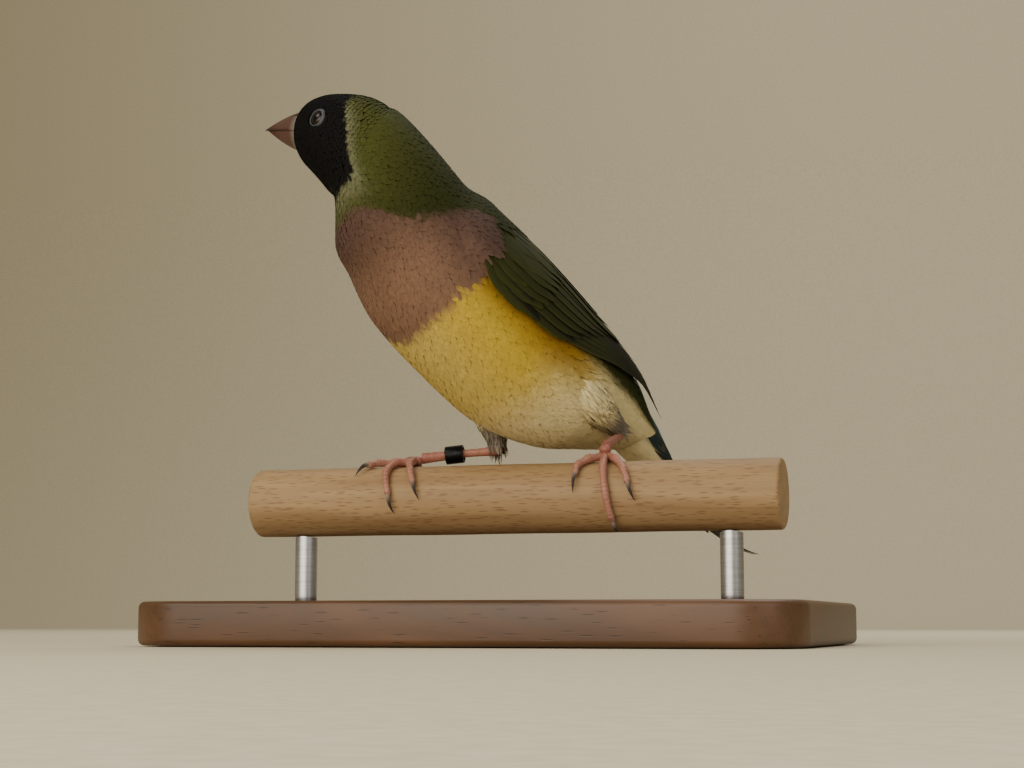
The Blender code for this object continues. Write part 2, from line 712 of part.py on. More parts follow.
def make_toe(points):
    """A toe round the perch with swellings at its joints and a pointed claw."""
    steps = 11
    rows = smooth(points, np.linspace(0, len(points) - 1, steps))
    radii = TOE_RADIUS * (1 - 0.22 * np.linspace(0, 1, steps))
    radii *= 1 + 0.13 * np.cos(np.linspace(0, 3 * 2 * math.pi, steps))
    along_step = rows[-1] - rows[-2]
    reach = math.hypot(along_step[0], math.radians(along_step[1]) * PERCH_RADIUS / MM)
    along_step = along_step / reach
    claw = [rows[-1] + along_step * CLAW_LENGTH * k for k in (0.12, 0.4, 0.72, 1.0)]
    rows = np.vstack([rows, claw])
    radii = np.concatenate([radii, [0.55, 0.42, 0.26, 0.08]])
    lift = np.concatenate([radii[:-4], [0.62, 0.8, 0.62, 0.12]])
    path = np.array([toe_point(x, degrees, out) for (x, degrees), out in zip(rows, lift)])
    outward = path - np.array([1.0, 0.0, 0.0]) * path[:, :1] - np.array([0.0, 0.0, PERCH_HEIGHT])
    rings = tube_rings(path, radii * MM, 7, outward.mean(axis=0) + np.array([1e-6, 0, 0]))
    return loft("toe", rings, "leg_skin")


def make_shank(name, leg, grow):
    heel, ankle = (leg_point(p) for p in leg["shank"])
    direction = (ankle - heel) / np.linalg.norm(ankle - heel)
    along = np.linspace(0, 1, 7)
    path = heel + (ankle - heel) * along[:, None]
    path[0] -= direction * grow
    radii = smooth([[r] for r in SHANK_RADII], along * 3)[:, 0] * MM + grow
    return loft(name, tube_rings(path, radii, 10), "leg_skin")


def make_leg(leg, toes, word, torso_cutter):
    thigh_path = smooth([leg_point(p) for p in leg["thigh"]], np.linspace(0, 2, 9))
    thigh_radii = smooth([[r] for r in THIGH_RADII], np.linspace(0, 2, 9))[:, 0]
    thigh = loft("thigh_form", tube_rings(thigh_path, thigh_radii * MM, 14), "grey_feathers")
    shank_cutter = make_shank("shank_cutter", leg, GAP)
    combine("thigh_" + word, thigh, [torso_cutter, shank_cutter], "DIFFERENCE", "grey_feathers")
    make_shank("shank_" + word, leg, 0.0)
    heel, ankle = (leg_point(p) for p in leg["shank"])
    direction = (ankle - heel) / np.linalg.norm(ankle - heel)
    hub_centre = ankle + direction * (GAP + HUB_RADIUS * MM) + (0, 0, -HUB_SINK * MM)
    hub = ball("hub", hub_centre, HUB_RADIUS * MM, "leg_skin", 8, 10)
    pieces = [make_toe(points) for points in toes]
    combine("foot_" + word, hub, pieces, "UNION", "leg_skin")


def make_leg_ring(leg):
    heel, ankle = (leg_point(p) for p in leg["shank"])
    along = (ankle - heel) / np.linalg.norm(ankle - heel)
    middle = heel + (ankle - heel) * RING_PLACE
    ends = (middle - along * RING_LENGTH * MM / 2, middle + along * RING_LENGTH * MM / 2)
    inner = (max(SHANK_RADII[1:]) + 0.35) * MM
    sections = []
    for radius in (inner, inner + RING_WALL * MM):
        sections.append(tube_rings(ends, [radius, radius], 20))
    points = np.concatenate([sections[0].reshape(-1, 3), sections[1].reshape(-1, 3)])
    faces = []
    for j in range(20):
        k = (j + 1) % 20
        faces.append((j, k, 20 + k, 20 + j))
        faces.append((40 + j, 60 + j, 60 + k, 40 + k))
        faces.append((j, 40 + j, 40 + k, k))
        faces.append((20 + j, 20 + k, 60 + k, 60 + j))
    add_object("leg_ring", points, faces, "ring_black")


def make_perch():
    half = PERCH_LENGTH / 2
    path = [(-half, 0, 0), (-half + PERCH_BEVEL, 0, 0), (half - PERCH_BEVEL, 0, 0), (half, 0, 0)]
    path = np.array(path) + (0, 0, PERCH_HEIGHT)
    radii = [PERCH_RADIUS - PERCH_BEVEL, PERCH_RADIUS, PERCH_RADIUS, PERCH_RADIUS - PERCH_BEVEL]
    loft("perch", tube_rings(path, radii, 40), "perch_beech")


def make_stand():
    outline = []
    for quarter, (sx, sy) in enumerate(((1, 1), (-1, 1), (-1, -1), (1, -1))):
        for angle in np.linspace(0, math.pi / 2, 7) + quarter * math.pi / 2:
            x = sx * (BASE_LENGTH / 2 - BASE_CORNER) + BASE_CORNER * math.cos(angle)
            y = sy * (BASE_DEPTH / 2 - BASE_CORNER) + BASE_CORNER * math.sin(angle)
            outline.append((x, y))
    outline = np.array(outline)
    outward = outline - outline * (1 - BASE_BEVEL / np.linalg.norm(outline, axis=1))[:, None]
    rings = []
    for inset, z in ((1, 0), (0, BASE_BEVEL), (0, BASE_THICKNESS - BASE_BEVEL), (1, BASE_THICKNESS)):
        flat = outline - outward * inset
        rings.append(np.column_stack([flat, np.full(len(flat), z)]))
    loft("stand_base", np.array(rings), "base_walnut")
    for side, word in ((-1, "left"), (1, "right")):
        turn = np.linspace(0, 2 * math.pi, 20, endpoint=False)
        x = side * ROD_OFFSET + ROD_RADIUS * np.cos(turn)
        y = ROD_RADIUS * np.sin(turn)
        saddle = PERCH_HEIGHT - np.sqrt((PERCH_RADIUS + GAP) ** 2 - y ** 2)
        low = np.column_stack([x, y, np.full(20, BASE_THICKNESS + GAP)])
        top = np.column_stack([x, y, saddle])
        points = np.vstack([low, top, [(side * ROD_OFFSET, 0, PERCH_HEIGHT - PERCH_RADIUS - GAP)]])
        faces = [(j, (j + 1) % 20, 20 + (j + 1) % 20, 20 + j) for j in range(20)]
        faces.append(tuple(range(20)))
        faces += [(20 + j, 20 + (j + 1) % 20, 40) for j in range(20)]
        add_object("stand_rod_" + word, points, faces, "rod_steel")


def main():
    clear_scene()
    make_stand()
    make_perch()
    torso, neck, head = make_flesh()
    make_eyes_and_lids(head)
    make_bill()
    make_tail()
    for side, word in ((1, "left"), (-1, "right")):
        make_wing(side, word)
    for leg, toes, word in ((LEFT_LEG, LEFT_TOES, "left"), (RIGHT_LEG, RIGHT_TOES, "right")):
        cutter = loft("torso_cutter", body_rings(0, TORSO_END, TORSO_RINGS, grow=GAP / MM), "belly_feathers")
        make_leg(leg, toes, word, cutter)
    make_leg_ring(RIGHT_LEG)


main()
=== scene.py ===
import math
import bpy
import numpy as np
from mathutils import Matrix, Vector


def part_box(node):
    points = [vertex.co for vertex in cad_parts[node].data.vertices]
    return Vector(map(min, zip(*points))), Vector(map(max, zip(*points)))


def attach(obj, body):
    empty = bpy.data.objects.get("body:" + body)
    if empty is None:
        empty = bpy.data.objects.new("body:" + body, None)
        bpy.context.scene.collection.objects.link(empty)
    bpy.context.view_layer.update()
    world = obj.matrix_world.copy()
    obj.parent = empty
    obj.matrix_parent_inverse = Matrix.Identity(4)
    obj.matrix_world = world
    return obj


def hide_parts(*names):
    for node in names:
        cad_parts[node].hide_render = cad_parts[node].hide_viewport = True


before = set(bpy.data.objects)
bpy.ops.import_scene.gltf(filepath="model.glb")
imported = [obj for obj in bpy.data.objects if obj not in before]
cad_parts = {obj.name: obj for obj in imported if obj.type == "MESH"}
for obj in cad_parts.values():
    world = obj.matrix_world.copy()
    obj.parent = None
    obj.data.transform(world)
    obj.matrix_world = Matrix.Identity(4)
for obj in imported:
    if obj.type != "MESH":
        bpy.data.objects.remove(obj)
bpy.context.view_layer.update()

# A gouldian finch on a short perch and a plain stand. Lengths are millimetres, the studio's metres.
mm = 0.001
fullTurn = 2 * math.pi
draw = np.random.default_rng(5)  # every varied size comes from this one seeded source


# Colours and materials

def linear(code):
    # sRGB hex to linear: c / 12.92 when dark, else ((c + 0.055) / 1.055) to the power 2.4
    parts = np.array([int(code[k:k + 2], 16) for k in (1, 3, 5)]) / 255
    return np.where(parts <= 0.04045, parts / 12.92, ((parts + 0.055) / 1.055) ** 2.4)


def paint(code):
    return (*linear(code), 1.0)


def addNode(tree, kind, inputs=None, stops=(), **settings):
    # one node: its options, each input as a value or as a link from a socket, and a ramp's stops
    made = tree.nodes.new(kind)
    for name, value in settings.items():
        setattr(made, name, value)
    for name, value in (inputs or {}).items():
        if isinstance(value, bpy.types.NodeSocket):
            tree.links.new(value, made.inputs[name])
        else:
            made.inputs[name].default_value = value
    if stops:
        band = made.color_ramp
        while len(band.elements) < len(stops):
            band.elements.new(0.5)
        for element, (place, code) in zip(band.elements, stops):
            element.position = place
            element.color = paint(code)
    return made


def newMaterial(name, **values):
    # a material with only its Principled shader, whose plain sockets are set by name
    made = bpy.data.materials.new(name)
    made.use_nodes = True
    shader = made.node_tree.nodes["Principled BSDF"]
    for socket, value in values.items():
        shader.inputs[socket.replace("_", " ")].default_value = value
    return made, made.node_tree, shader


def mottled(tree, pattern, low, high):
    # the surface's own tint, times a number from low to high by a pattern that runs from 0 to 1
    tint = addNode(tree, "ShaderNodeAttribute", attribute_name="plumage").outputs["Color"]
    span = addNode(tree, "ShaderNodeMapRange", {"Value": pattern, "To Min": low, "To Max": high})
    times = {0: 1.0, 6: tint, 7: span.outputs["Result"]}
    return addNode(tree, "ShaderNodeMix", times, data_type="RGBA", blend_type="MULTIPLY").outputs[2]


def dress(tree, shader, colour, height, depth, strength):
    # the end of each material: its colour, and its relief as a bump of depth millimetres
    relief = {"Height": height, "Distance": depth * mm, "Strength": strength}
    bump = addNode(tree, "ShaderNodeBump", relief)
    tree.links.new(colour, shader.inputs["Base Color"])
    tree.links.new(bump.outputs["Normal"], shader.inputs["Normal"])


# Meshes

def makePiece(name, points, faceSets, material, maps=None, tint=None, sharp=50, facing=None):
    # whole arrays into one mesh: points, then the corners of every face, then maps and tints;
    # facing, where given, is the direction each point is shaded by
    points = np.asarray(points, float).reshape(-1, 3)
    faceSets = [np.asarray(faces) for faces in faceSets if len(faces)]
    first = faceSets[0]
    a, b, c = (points[first[:, k]] for k in range(3))
    d = points[first[:, -1]]
    inside = np.einsum("ij,ij->i", a, np.cross(b, c)) + np.einsum("ij,ij->i", a, np.cross(c, d))
    if inside.sum() < 0:  # the first set carries nearly all the volume, so its sign tells the side
        faceSets = [faces[:, ::-1] for faces in faceSets]
    corners = np.concatenate([faces.ravel() for faces in faceSets]).astype(np.int32)
    sizes = np.concatenate([np.full(len(faces), faces.shape[1]) for faces in faceSets])
    mesh = bpy.data.meshes.new(name)
    mesh.vertices.add(len(points))
    mesh.vertices.foreach_set("co", points.astype(np.float32).ravel())
    mesh.loops.add(len(corners))
    mesh.loops.foreach_set("vertex_index", corners)
    mesh.polygons.add(len(sizes))
    mesh.polygons.foreach_set("loop_start", (np.cumsum(sizes) - sizes).astype(np.int32))
    mesh.update(calc_edges=True)
    mesh.shade_smooth()
    mesh.set_sharp_from_angle(angle=math.radians(sharp))
    for mapName, values in (maps or {}).items():
        layer = mesh.uv_layers.new(name=mapName)
        layer.uv.foreach_set("vector", values.reshape(-1, 2)[corners].astype(np.float32).ravel())
    if tint is not None:
        colour = np.concatenate([tint.reshape(-1, 3), np.ones((len(points), 1))], 1)
        layer = mesh.attributes.new("plumage", "FLOAT_COLOR", "POINT")
        layer.data.foreach_set("color", colour.astype(np.float32).ravel())
    if facing is not None:
        mesh.normals_split_custom_set_from_vertices(facing.reshape(-1, 3).tolist())
    mesh.materials.append(material)
    piece = bpy.data.objects.new(name, mesh)
    bpy.context.collection.objects.link(piece)
    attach(piece, "root")
    return piece


def gridQuads(rows, columns, around=False, closed=False):
    # quads of a grid of points; around joins the last column to the first, closed the last row
    index = np.arange(rows * columns).reshape(rows, columns)
    if closed:
        index = np.concatenate([index, index[:1]], 0)
    if around:
        index = np.concatenate([index, index[:, :1]], 1)
    return np.stack([index[:-1, :-1], index[:-1, 1:], index[1:, 1:], index[1:, :-1]], -1).reshape(-1, 4)


def tubeFaces(rows, columns):
    # the faces of a tube of rings: quads round it, and one face over each end
    first = np.arange(columns)
    return [gridQuads(rows, columns, around=True), first[::-1][None], (first + (rows - 1) * columns)[None]]


def shellQuads(rows, columns):
    # a closed thin shell: an upper and a lower sheet of quads that share their rim, each pair of
    # quads starting at the same corner, so that both are cut into triangles the same way
    upper = np.arange(rows * columns).reshape(rows, columns)
    lower = upper.copy()
    inner = np.arange((rows - 2) * (columns - 2)).reshape(rows - 2, columns - 2)
    lower[1:-1, 1:-1] = rows * columns + inner
    above = np.stack([upper[:-1, :-1], upper[:-1, 1:], upper[1:, 1:], upper[1:, :-1]], -1)
    below = np.stack([lower[:-1, :-1], lower[1:, :-1], lower[1:, 1:], lower[:-1, 1:]], -1)
    return np.concatenate([above, below]).reshape(-1, 4)


def joinShells(upper, lower):
    # upper and lower sheets of many feathers, each (feather, row, column, value), as one list
    count = len(upper)
    inner = lower[:, 1:-1, 1:-1].reshape(count, -1, lower.shape[-1])
    return np.concatenate([upper.reshape(count, -1, upper.shape[-1]), inner], 1)


def shellFaces(count, rows, columns):
    # the faces of many such shells, one after the other
    each = rows * columns + (rows - 2) * (columns - 2)
    return (shellQuads(rows, columns)[None] + np.arange(count)[:, None, None] * each).reshape(-1, 4)


def blend(low, high, value):
    # smooth step: 0 below low, 1 above high, 3x2 - 2x3 between
    part = np.clip((value - low) / (high - low), 0, 1)
    return part * part * (3 - 2 * part)


def hill(distance, width):
    # 1 at no distance, falling away on both sides: e to the power -(distance / width)2
    return np.exp(-(distance / width) ** 2)


def mixed(first, second, part):
    # two colours or directions, the second by its part
    return first + (second - first) * np.asarray(part)[..., None]


def unit(vectors):
    # each vector over its own length
    return vectors / (np.linalg.norm(vectors, axis=-1)[..., None] + 1e-12)


def circle(count):
    # a full turn in even steps, without its end
    return np.linspace(0, fullTurn, count, endpoint=False)


def sameShape(*values):
    # numbers and arrays as arrays of one shape
    return np.broadcast_arrays(*(np.asarray(value, float) for value in values))


def sideAngle(angle):
    # degrees from the middle of the back, the same on the left and the right
    return np.abs((angle + 180) % 360 - 180)


def curveRows(rows, place):
    # a cubic through the rows: half of 2b + (c-a)t + (2a-5b+4c-d)t2 + (3b-a-3c+d)t3
    rows = np.asarray(rows, float)
    padded = np.vstack([2 * rows[0] - rows[1], rows, 2 * rows[-1] - rows[-2]])
    place = np.asarray(place, float)
    whole = np.clip(place.astype(int), 0, len(rows) - 2)
    t = (place - whole)[..., None]
    a, b, c, d = (padded[whole + k] for k in range(4))
    square, cube = 2 * a - 5 * b + 4 * c - d, 3 * b - a - 3 * c + d
    return 0.5 * (2 * b + (c - a) * t + square * t ** 2 + cube * t ** 3)


# The bird's form, in the same driving sizes as the solids
perchLow, perchHigh = (np.array(corner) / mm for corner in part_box("perch"))
bird = {
    "heading": 229.6,        # degrees, where the breast points
    "along": -0.6,           # along the perch
    "torsoPitch": 37.0,
    "torsoCentre": (9.6, 38.6),
    "headPitch": 12.0,
    "headTurn": 59.0,        # to the bird's right
    "headCentre": (39.2, 69.4),
    "turnBehindEye": 6.0,
    "sideLean": 0.05,
    # back (x, z), belly (x, z), half width, share of the head's turn
    "torso": ((-45, 9.8, -45, -0.8, 6.0, 0), (-38, 12.8, -38, -6.5, 8.9, 0),
              (-30, 14.2, -30, -12.4, 12.0, 0), (-18, 14.6, -18, -16.7, 14.9, 0),
              (-3, 15.0, -3, -16.9, 16.2, 0), (11, 14.7, 10, -15.8, 15.8, 0),
              (22, 15.8, 20, -13.0, 14.0, 0.10), (33, 16.9, 27, -10.9, 12.4, 0.40)),
    "head": ((-10.5, 5.3, -5.0, -14.4, 9.9, 0.82), (-4.5, 7.0, -2.4, -12.0, 8.7, 1),
             (1, 6.8, 1.2, -9.4, 7.4, 1), (4.8, 5.5, 4.2, -7.4, 5.9, 1),
             (6.9, 3.6, 6.0, -5.4, 4.3, 1)),
}
perchAxis = (perchLow[2] + perchHigh[2]) / 2
perchRadius = (perchHigh[2] - perchLow[2]) / 2
ahead = np.array([math.cos(math.radians(bird["heading"])), math.sin(math.radians(bird["heading"]))])
leftWard = np.array([-ahead[1], ahead[0]])


def pitched(x, z, degrees, centre):
    # a point of an upright plane turned by degrees and moved to its centre
    angle = math.radians(degrees)
    return (x * math.cos(angle) - z * math.sin(angle) + centre[0],
            x * math.sin(angle) + z * math.cos(angle) + centre[1])


def toWorld(s, left, up):
    # millimetres ahead, left and up from the perch's axis, as millimetres of the frame
    return np.stack([bird["along"] + ahead[0] * s + leftWard[0] * left,
                     ahead[1] * s + leftWard[1] * left, perchAxis + up + 0 * s], -1)


def turnHead(s, left, share):
    # turn about the upright line behind the eyes by the share of the head's turn
    axis = bird["headCentre"][0] - bird["turnBehindEye"]
    angle = -np.radians(bird["headTurn"]) * share
    return (axis + (s - axis) * np.cos(angle) - left * np.sin(angle),
            (s - axis) * np.sin(angle) + left * np.cos(angle))


def bodyStations():
    # both forms as one table of rings in the bird's upright plane
    rows = []
    for form in ("torso", "head"):
        pitch, centre = bird[form + "Pitch"], bird[form + "Centre"]
        for x, z, lowX, lowZ, half, share in bird[form]:
            rows.append((*pitched(x, z, pitch, centre), *pitched(lowX, lowZ, pitch, centre), half, share))
    return np.array(rows)


stations = bodyStations()
lastPlace = len(stations) - 1.0


def bodySurface(place, angle, grow):
    # an oval round the mid-line at each station: angle 0 is the back, 90 the left, 180 the belly;
    # beyond the first station the first ring is carried on in a straight line
    place, angle, grow = sameShape(place, angle, grow)
    inner = np.clip(place, 0, lastPlace)
    rows = curveRows(stations, inner)
    beyond = np.minimum(place, 0)[..., None]
    rows = rows + beyond * (stations[1] - stations[0])
    middle = (rows[..., 0:2] + rows[..., 2:4]) / 2
    half = (rows[..., 0:2] - rows[..., 2:4]) / 2
    size = np.linalg.norm(half, axis=-1)
    half = half * ((size + grow) / size)[..., None]
    turn = np.radians(angle)
    s = middle[..., 0] + half[..., 0] * np.cos(turn)
    up = middle[..., 1] + half[..., 1] * np.cos(turn)
    left = (rows[..., 4] + grow) * np.sin(turn) * (1 - bird["sideLean"] * np.cos(turn))
    s, left = turnHead(s, left, np.clip(rows[..., 5], 0, 1))
    return toWorld(s, left, up)


def torsoPoint(x, left, z):
    # a point given along, left of and above the torso's own axis
    x, left, z = sameShape(x, left, z)
    s, up = pitched(x, z, bird["torsoPitch"], bird["torsoCentre"])
    return toWorld(s, left, up)


def headPoint(x, left, z):
    # the same for the head, which is turned as well
    x, left, z = sameShape(x, left, z)
    s, up = pitched(x, z, bird["headPitch"], bird["headCentre"])
    s, left = turnHead(s, left, 1.0)
    return toWorld(s, left, up)


torsoMiddles = [(row[0] + row[2]) / 2 for row in bird["torso"]]


def stationAt(x):
    # the place between stations at x millimetres along the torso
    return np.interp(x, torsoMiddles, np.arange(len(torsoMiddles)))


def torsoAt(place):
    # the other way round: millimetres along the torso at a place between its stations
    return np.interp(place, np.arange(len(torsoMiddles)), torsoMiddles)


def stretch(surface, place, angle, step=0.02):
    # millimetres that one unit of place and one degree of angle cover on a surface
    here = surface(place, angle, 0.0)
    along = np.linalg.norm(surface(place + step, angle, 0.0) - here, axis=-1) / step
    around = np.linalg.norm(surface(place, angle + 1.0, 0.0) - here, axis=-1)
    return along, around


# Plumage: colours worked out from the place on the body, the same for skin and feathers
plumage = {
    "mask": "#070606", "rim": "#6b6c52", "nape": "#3e4219", "mantle": "#2b2f10", "rump": "#5f7d7c",
    # the two breast tones are one mauve, with painted light low in front and painted shade at its side
    "breast": "#7f614d", "breastShadedSide": "#503d36", "goldenAndWingShade": "#85620a", "yellow": "#bea236",
    "cream": "#e2d29c", "vent": "#d2c28e", "down": "#7c7264",
    # where the mask ends and the breast patch begins and ends: angle from the back, place
    "maskEdge": ((0, 8.95), (42, 8.83), (84, 8.1), (99, 7.62), (104, 7.38), (112, 7.35), (122, 7.5),
                 (153, 7.7), (180, 7.75)),
    "breastTop": ((0, 4.9), (55, 4.9), (62, 5.28), (76, 5.58), (92, 5.8), (105, 6.05), (112, 6.35),
                  (117, 6.7), (128, 7.03), (147, 7.2), (180, 7.35)),
    "breastLow": ((0, 4.9), (57, 4.9), (66, 4.73), (78, 4.55), (90, 4.48), (99, 4.58), (112, 4.7),
                  (146, 4.68), (180, 4.58)),
}
tone = {name: linear(code) for name, code in plumage.items() if isinstance(code, str)}


def edgeAt(name, angle):
    # straight lines between the points of an edge
    places = np.array(plumage[name])
    return np.interp(angle, places[:, 0], places[:, 1])


def plumageAt(place, angle, wander=0.0):
    # each field is laid over the last by a smooth step; wander shifts the edges feather by feather
    place, angle = sameShape(place, angle)
    side = sideAngle(angle)
    p = place + wander
    mask, top, low = (edgeAt(name, side) for name in ("maskEdge", "breastTop", "breastLow"))
    # the back, from the blue rump and the dark mantle to the nape; the numbers in each blend are
    # places when it reads p, and degrees from the back when it reads side
    back = mixed(tone["mantle"], tone["nape"], blend(5.6, 7.3, p - blend(50, 0, side) * 1.2))
    back = mixed(back, mixed(tone["rump"], tone["mantle"], blend(25, 60, side)), blend(2.0, 1.2, p))
    # the belly, golden and in painted shade by the wing, and paler towards its middle and the vent
    under = mixed(tone["yellow"], tone["goldenAndWingShade"], blend(122, 88, side) * blend(1.6, 3.2, p))
    paler = blend(118, 170, side) * 0.25 + blend(3.5, 2.3, p) * blend(85, 120, side) * 0.95
    under = mixed(under, tone["cream"], np.clip(paler, 0, 1))
    under = mixed(under, tone["vent"], blend(2.6, 1.5, p - 0.4 * blend(110, 80, side)))
    colour = mixed(back, under, blend(72, 88, side + wander * 14) * blend(5.4, 4.9, p))
    # the pale rim behind the mask, the breast patch, and the mask over both
    colour = mixed(colour, tone["rim"], 0.75 * hill(mask - p, 0.34) * blend(25, 60, side))
    breast = blend(top + 0.12, top - 0.12, p) * blend(low - 0.1, low + 0.1, p) * blend(53, 58, side)
    # the patch's mauve, darker at its upper side as painted shade and paler low in front as painted light
    patch = mixed(tone["breastShadedSide"], tone["breast"], blend(70, 135, side) * blend(7.1, 5.2, p))
    colour = mixed(colour, patch, breast)
    return mixed(colour, tone["mask"], blend(mask - 0.05, mask + 0.05, p))


def bodyMap(place, angle):
    # the unwrap of the body: its length across, the way round it upwards
    return np.stack([0.09 + 0.87 * place / lastPlace, 0.02 + 0.76 * ((angle + 180) % 360) / 360], -1)


def thighMap(number):
    # each thigh's own patch beside the body's unwrap
    def unwrap(place, angle):
        return np.stack([0.05 + 0.3 * number + 0.2 * place, 0.82 + 0.15 * (angle % 360) / 360], -1)
    return unwrap


# Feathers on a surface

feather = {
    "widest": 0.5,           # share of the length where a feather is widest
    "surfaces": 0.77,        # and where it reaches the coat's outer surface
    "quillHeight": 0.02, "quillWidth": 0.16,
    "shows": 0.7,            # the part of a feather that shows, where it takes its colour
    "patch": 0.00135,        # half of a feather's patch in the bake's map
}


def layFeathers(surface, unwrap, colours, place, angle, size, shape):
    # each feather is a grid on the surface: it runs tail-ward from its root at (place, angle),
    # widens as a sine from the quill, ends round with barbs of uneven length, and rises as a sine
    # from the skin to the outer surface; size gives each feather's length, half width, depth and lift
    rows, columns, count = shape["rows"], shape["columns"], len(place)
    s = np.linspace(0, 1, rows)[None, :, None]
    t = np.linspace(-1, 1, columns)[None, None, :]
    flat = 0 * s + 0 * t
    length, half, depth, lift = (np.asarray(size[name])[:, None, None]
                                 for name in ("length", "half", "depth", "lift"))
    fringe = draw.uniform(0, shape["fringe"], (count, 1, columns))
    fringe = fringe + 0.4 * shape["fringe"] * (np.arange(columns) % 2)
    run = s * (1 - shape["round"] * t ** 2 - fringe * (1 - 0.5 * np.abs(t)))
    widening = np.sin(np.pi / 2 * np.clip(s / feather["widest"], 0, 1))
    widening = (shape["quill"] + (1 - shape["quill"]) * widening) * (1 - shape["taper"] * s ** 3)
    alongUnit, aroundUnit = (step[:, None, None] for step in stretch(surface, place, angle))
    lean = draw.normal(0, shape["lean"], (count, 1, 1))
    placeGrid = place[:, None, None] - run * length / alongUnit
    across = t * half * widening + lean * run * length
    angleGrid = angle[:, None, None] + across / aroundUnit
    rise = np.sin(np.pi / 2 * np.clip(run / feather["surfaces"], 0, 1))
    height = -depth * (1 - rise) + lift * run ** 2 - shape["camber"] * t ** 2 * rise
    height = height + draw.uniform(-0.5, 0.5, (count, 1, 1)) * shape["uneven"]
    quill = feather["quillHeight"] * hill(t, feather["quillWidth"]) * (1 - s)
    upper = surface(placeGrid, angleGrid, height + quill)
    lower = surface(placeGrid, angleGrid, height - shape["thick"] * (1 - t ** 2) * (1 - 0.6 * s))
    # shaded mostly by the slope of the body, a little by its own, so that the coat looks silky
    here = surface(placeGrid, angleGrid, 0.0)
    out = surface(placeGrid, angleGrid, 1.0) - here
    around = surface(placeGrid, angleGrid + 1.0, 0.0) - here
    along = surface(placeGrid + 0.02, angleGrid, 0.0) - here
    slope = unit(np.cross(around, along))
    slope = slope * np.sign((slope * out).sum(-1))[..., None]
    own = unit(np.cross(np.gradient(upper, axis=1), np.gradient(upper, axis=2)))
    own = own * np.sign((own * slope).sum(-1))[..., None]
    facing = unit(mixed(own, slope, shape["silk"] + flat))
    # the field's colour, paler or darker feather by feather and darker on the quill; painted shade darkens
    # the covered root
    seen = place - feather["shows"] * (length / alongUnit)[:, 0, 0]
    base = mixed(colours(seen[:, None, None], angle[:, None, None]), colours(placeGrid, angleGrid), 0.65)
    shade = 1 + draw.normal(0, shape["vary"], (count, 1, 1))
    shade = shade * (1 + shape["edge"] * blend(0.82, 1.0, s)) * (1 - 0.1 * hill(t, 0.12) * (1 - 0.7 * s))
    tint = base * (shade * (0.9 + 0.1 * blend(0.1, 0.6, s)))[..., None]
    barbs = np.stack([s * length + flat, t * half + flat], -1)
    patch = feather["patch"] * np.stack([2 * s - 1 + flat, t + flat], -1)
    patch = unwrap(place, angle)[:, None, None, :] + patch
    # painted shade: each lower sheet takes the tint darkened by a tenth
    return {"points": joinShells(upper, lower), "tint": joinShells(tint, tint * 0.9),
            "barbs": joinShells(barbs, barbs), "patch": joinShells(patch, patch),
            "facing": joinShells(facing, -facing), "faces": shellFaces(count, rows, columns)}


def featherPiece(name, laid, material):
    # joins several lots of feathers into one piece
    start, faces = 0, []
    for lot in laid:
        faces.append(lot["faces"] + start)
        start += lot["points"].shape[0] * lot["points"].shape[1]
    flat = {key: np.concatenate([lot[key].reshape(-1, lot[key].shape[-1]) for lot in laid])
            for key in laid[0] if key != "faces"}
    piece = makePiece(name, flat["points"] * mm, [np.concatenate(faces)], material, tint=flat["tint"],
                      maps={"OFBake": flat["patch"], "barbs": flat["barbs"]}, facing=flat.get("facing"))
    return piece


# Feather keratin, grown as barbs on a quill: matt, with a fine grain of barbs slanting from the quill
def featherMaterial(name, roughness, barbWidth, relief):
    made, tree, shader = newMaterial(name, Roughness=roughness, Specular_IOR_Level=0.14)
    where = addNode(tree, "ShaderNodeTexCoord").outputs["Object"]
    # a mottle of 1.1 mm, 1000 / 900
    mottle = addNode(tree, "ShaderNodeTexNoise", {"Vector": where, "Scale": 900.0, "Detail": 3.0})
    # a sine of the way along the quill less 1.1 times the way from it, one wave for each barb
    flat = addNode(tree, "ShaderNodeUVMap", uv_map="barbs").outputs["UV"]
    parts = addNode(tree, "ShaderNodeSeparateXYZ", {"Vector": flat})
    out = addNode(tree, "ShaderNodeMath", {0: parts.outputs["Y"]}, operation="ABSOLUTE")
    slant = {0: out.outputs["Value"], 1: -1.1, 2: parts.outputs["X"]}
    slant = addNode(tree, "ShaderNodeMath", slant, operation="MULTIPLY_ADD").outputs["Value"]
    turns = addNode(tree, "ShaderNodeMath", {0: slant, 1: fullTurn / barbWidth}, operation="MULTIPLY")
    wave = addNode(tree, "ShaderNodeMath", {0: turns.outputs["Value"]}, operation="SINE")
    colour = mottled(tree, mottle.outputs["Fac"], 0.82, 1.18)
    dress(tree, shader, colour, wave.outputs["Value"], relief, 0.5)
    return made


bodyFeather = featherMaterial("contour_feather_keratin", 0.8, 0.2, 0.01)
flightFeather = featherMaterial("flight_feather_keratin", 0.6, 0.3, 0.008)


# Skin: soft, matt and pale, tinted as the feathers over it
def skinMaterial():
    made, tree, shader = newMaterial("down_covered_skin", Roughness=0.9)
    colour = addNode(tree, "ShaderNodeAttribute", attribute_name="plumage").outputs["Color"]
    where = addNode(tree, "ShaderNodeTexCoord").outputs["Object"]
    # tufts of down of 0.4 mm
    down = addNode(tree, "ShaderNodeTexNoise", {"Vector": where, "Scale": 2600.0, "Detail": 4.0})
    dress(tree, shader, colour, down.outputs["Fac"], 0.1, 0.6)
    return made


# The wings' layout on the flanks, and how their tips leave the body
wing = {
    # along the torso, angle of the upper edge, angle of the lower edge
    "edges": ((-55, 26, 48), (-39, 30, 62), (-32, 24, 74), (-23, 16, 85), (-12, 15, 93), (0, 20, 97),
              (11, 32, 94), (18, 56, 76)),
    "tipStart": -20.0, "tipRun": 25.0, "tipLift": 1.0, "leavesBody": -39.0,
    "droops": 0.33, "closes": 0.15,
}


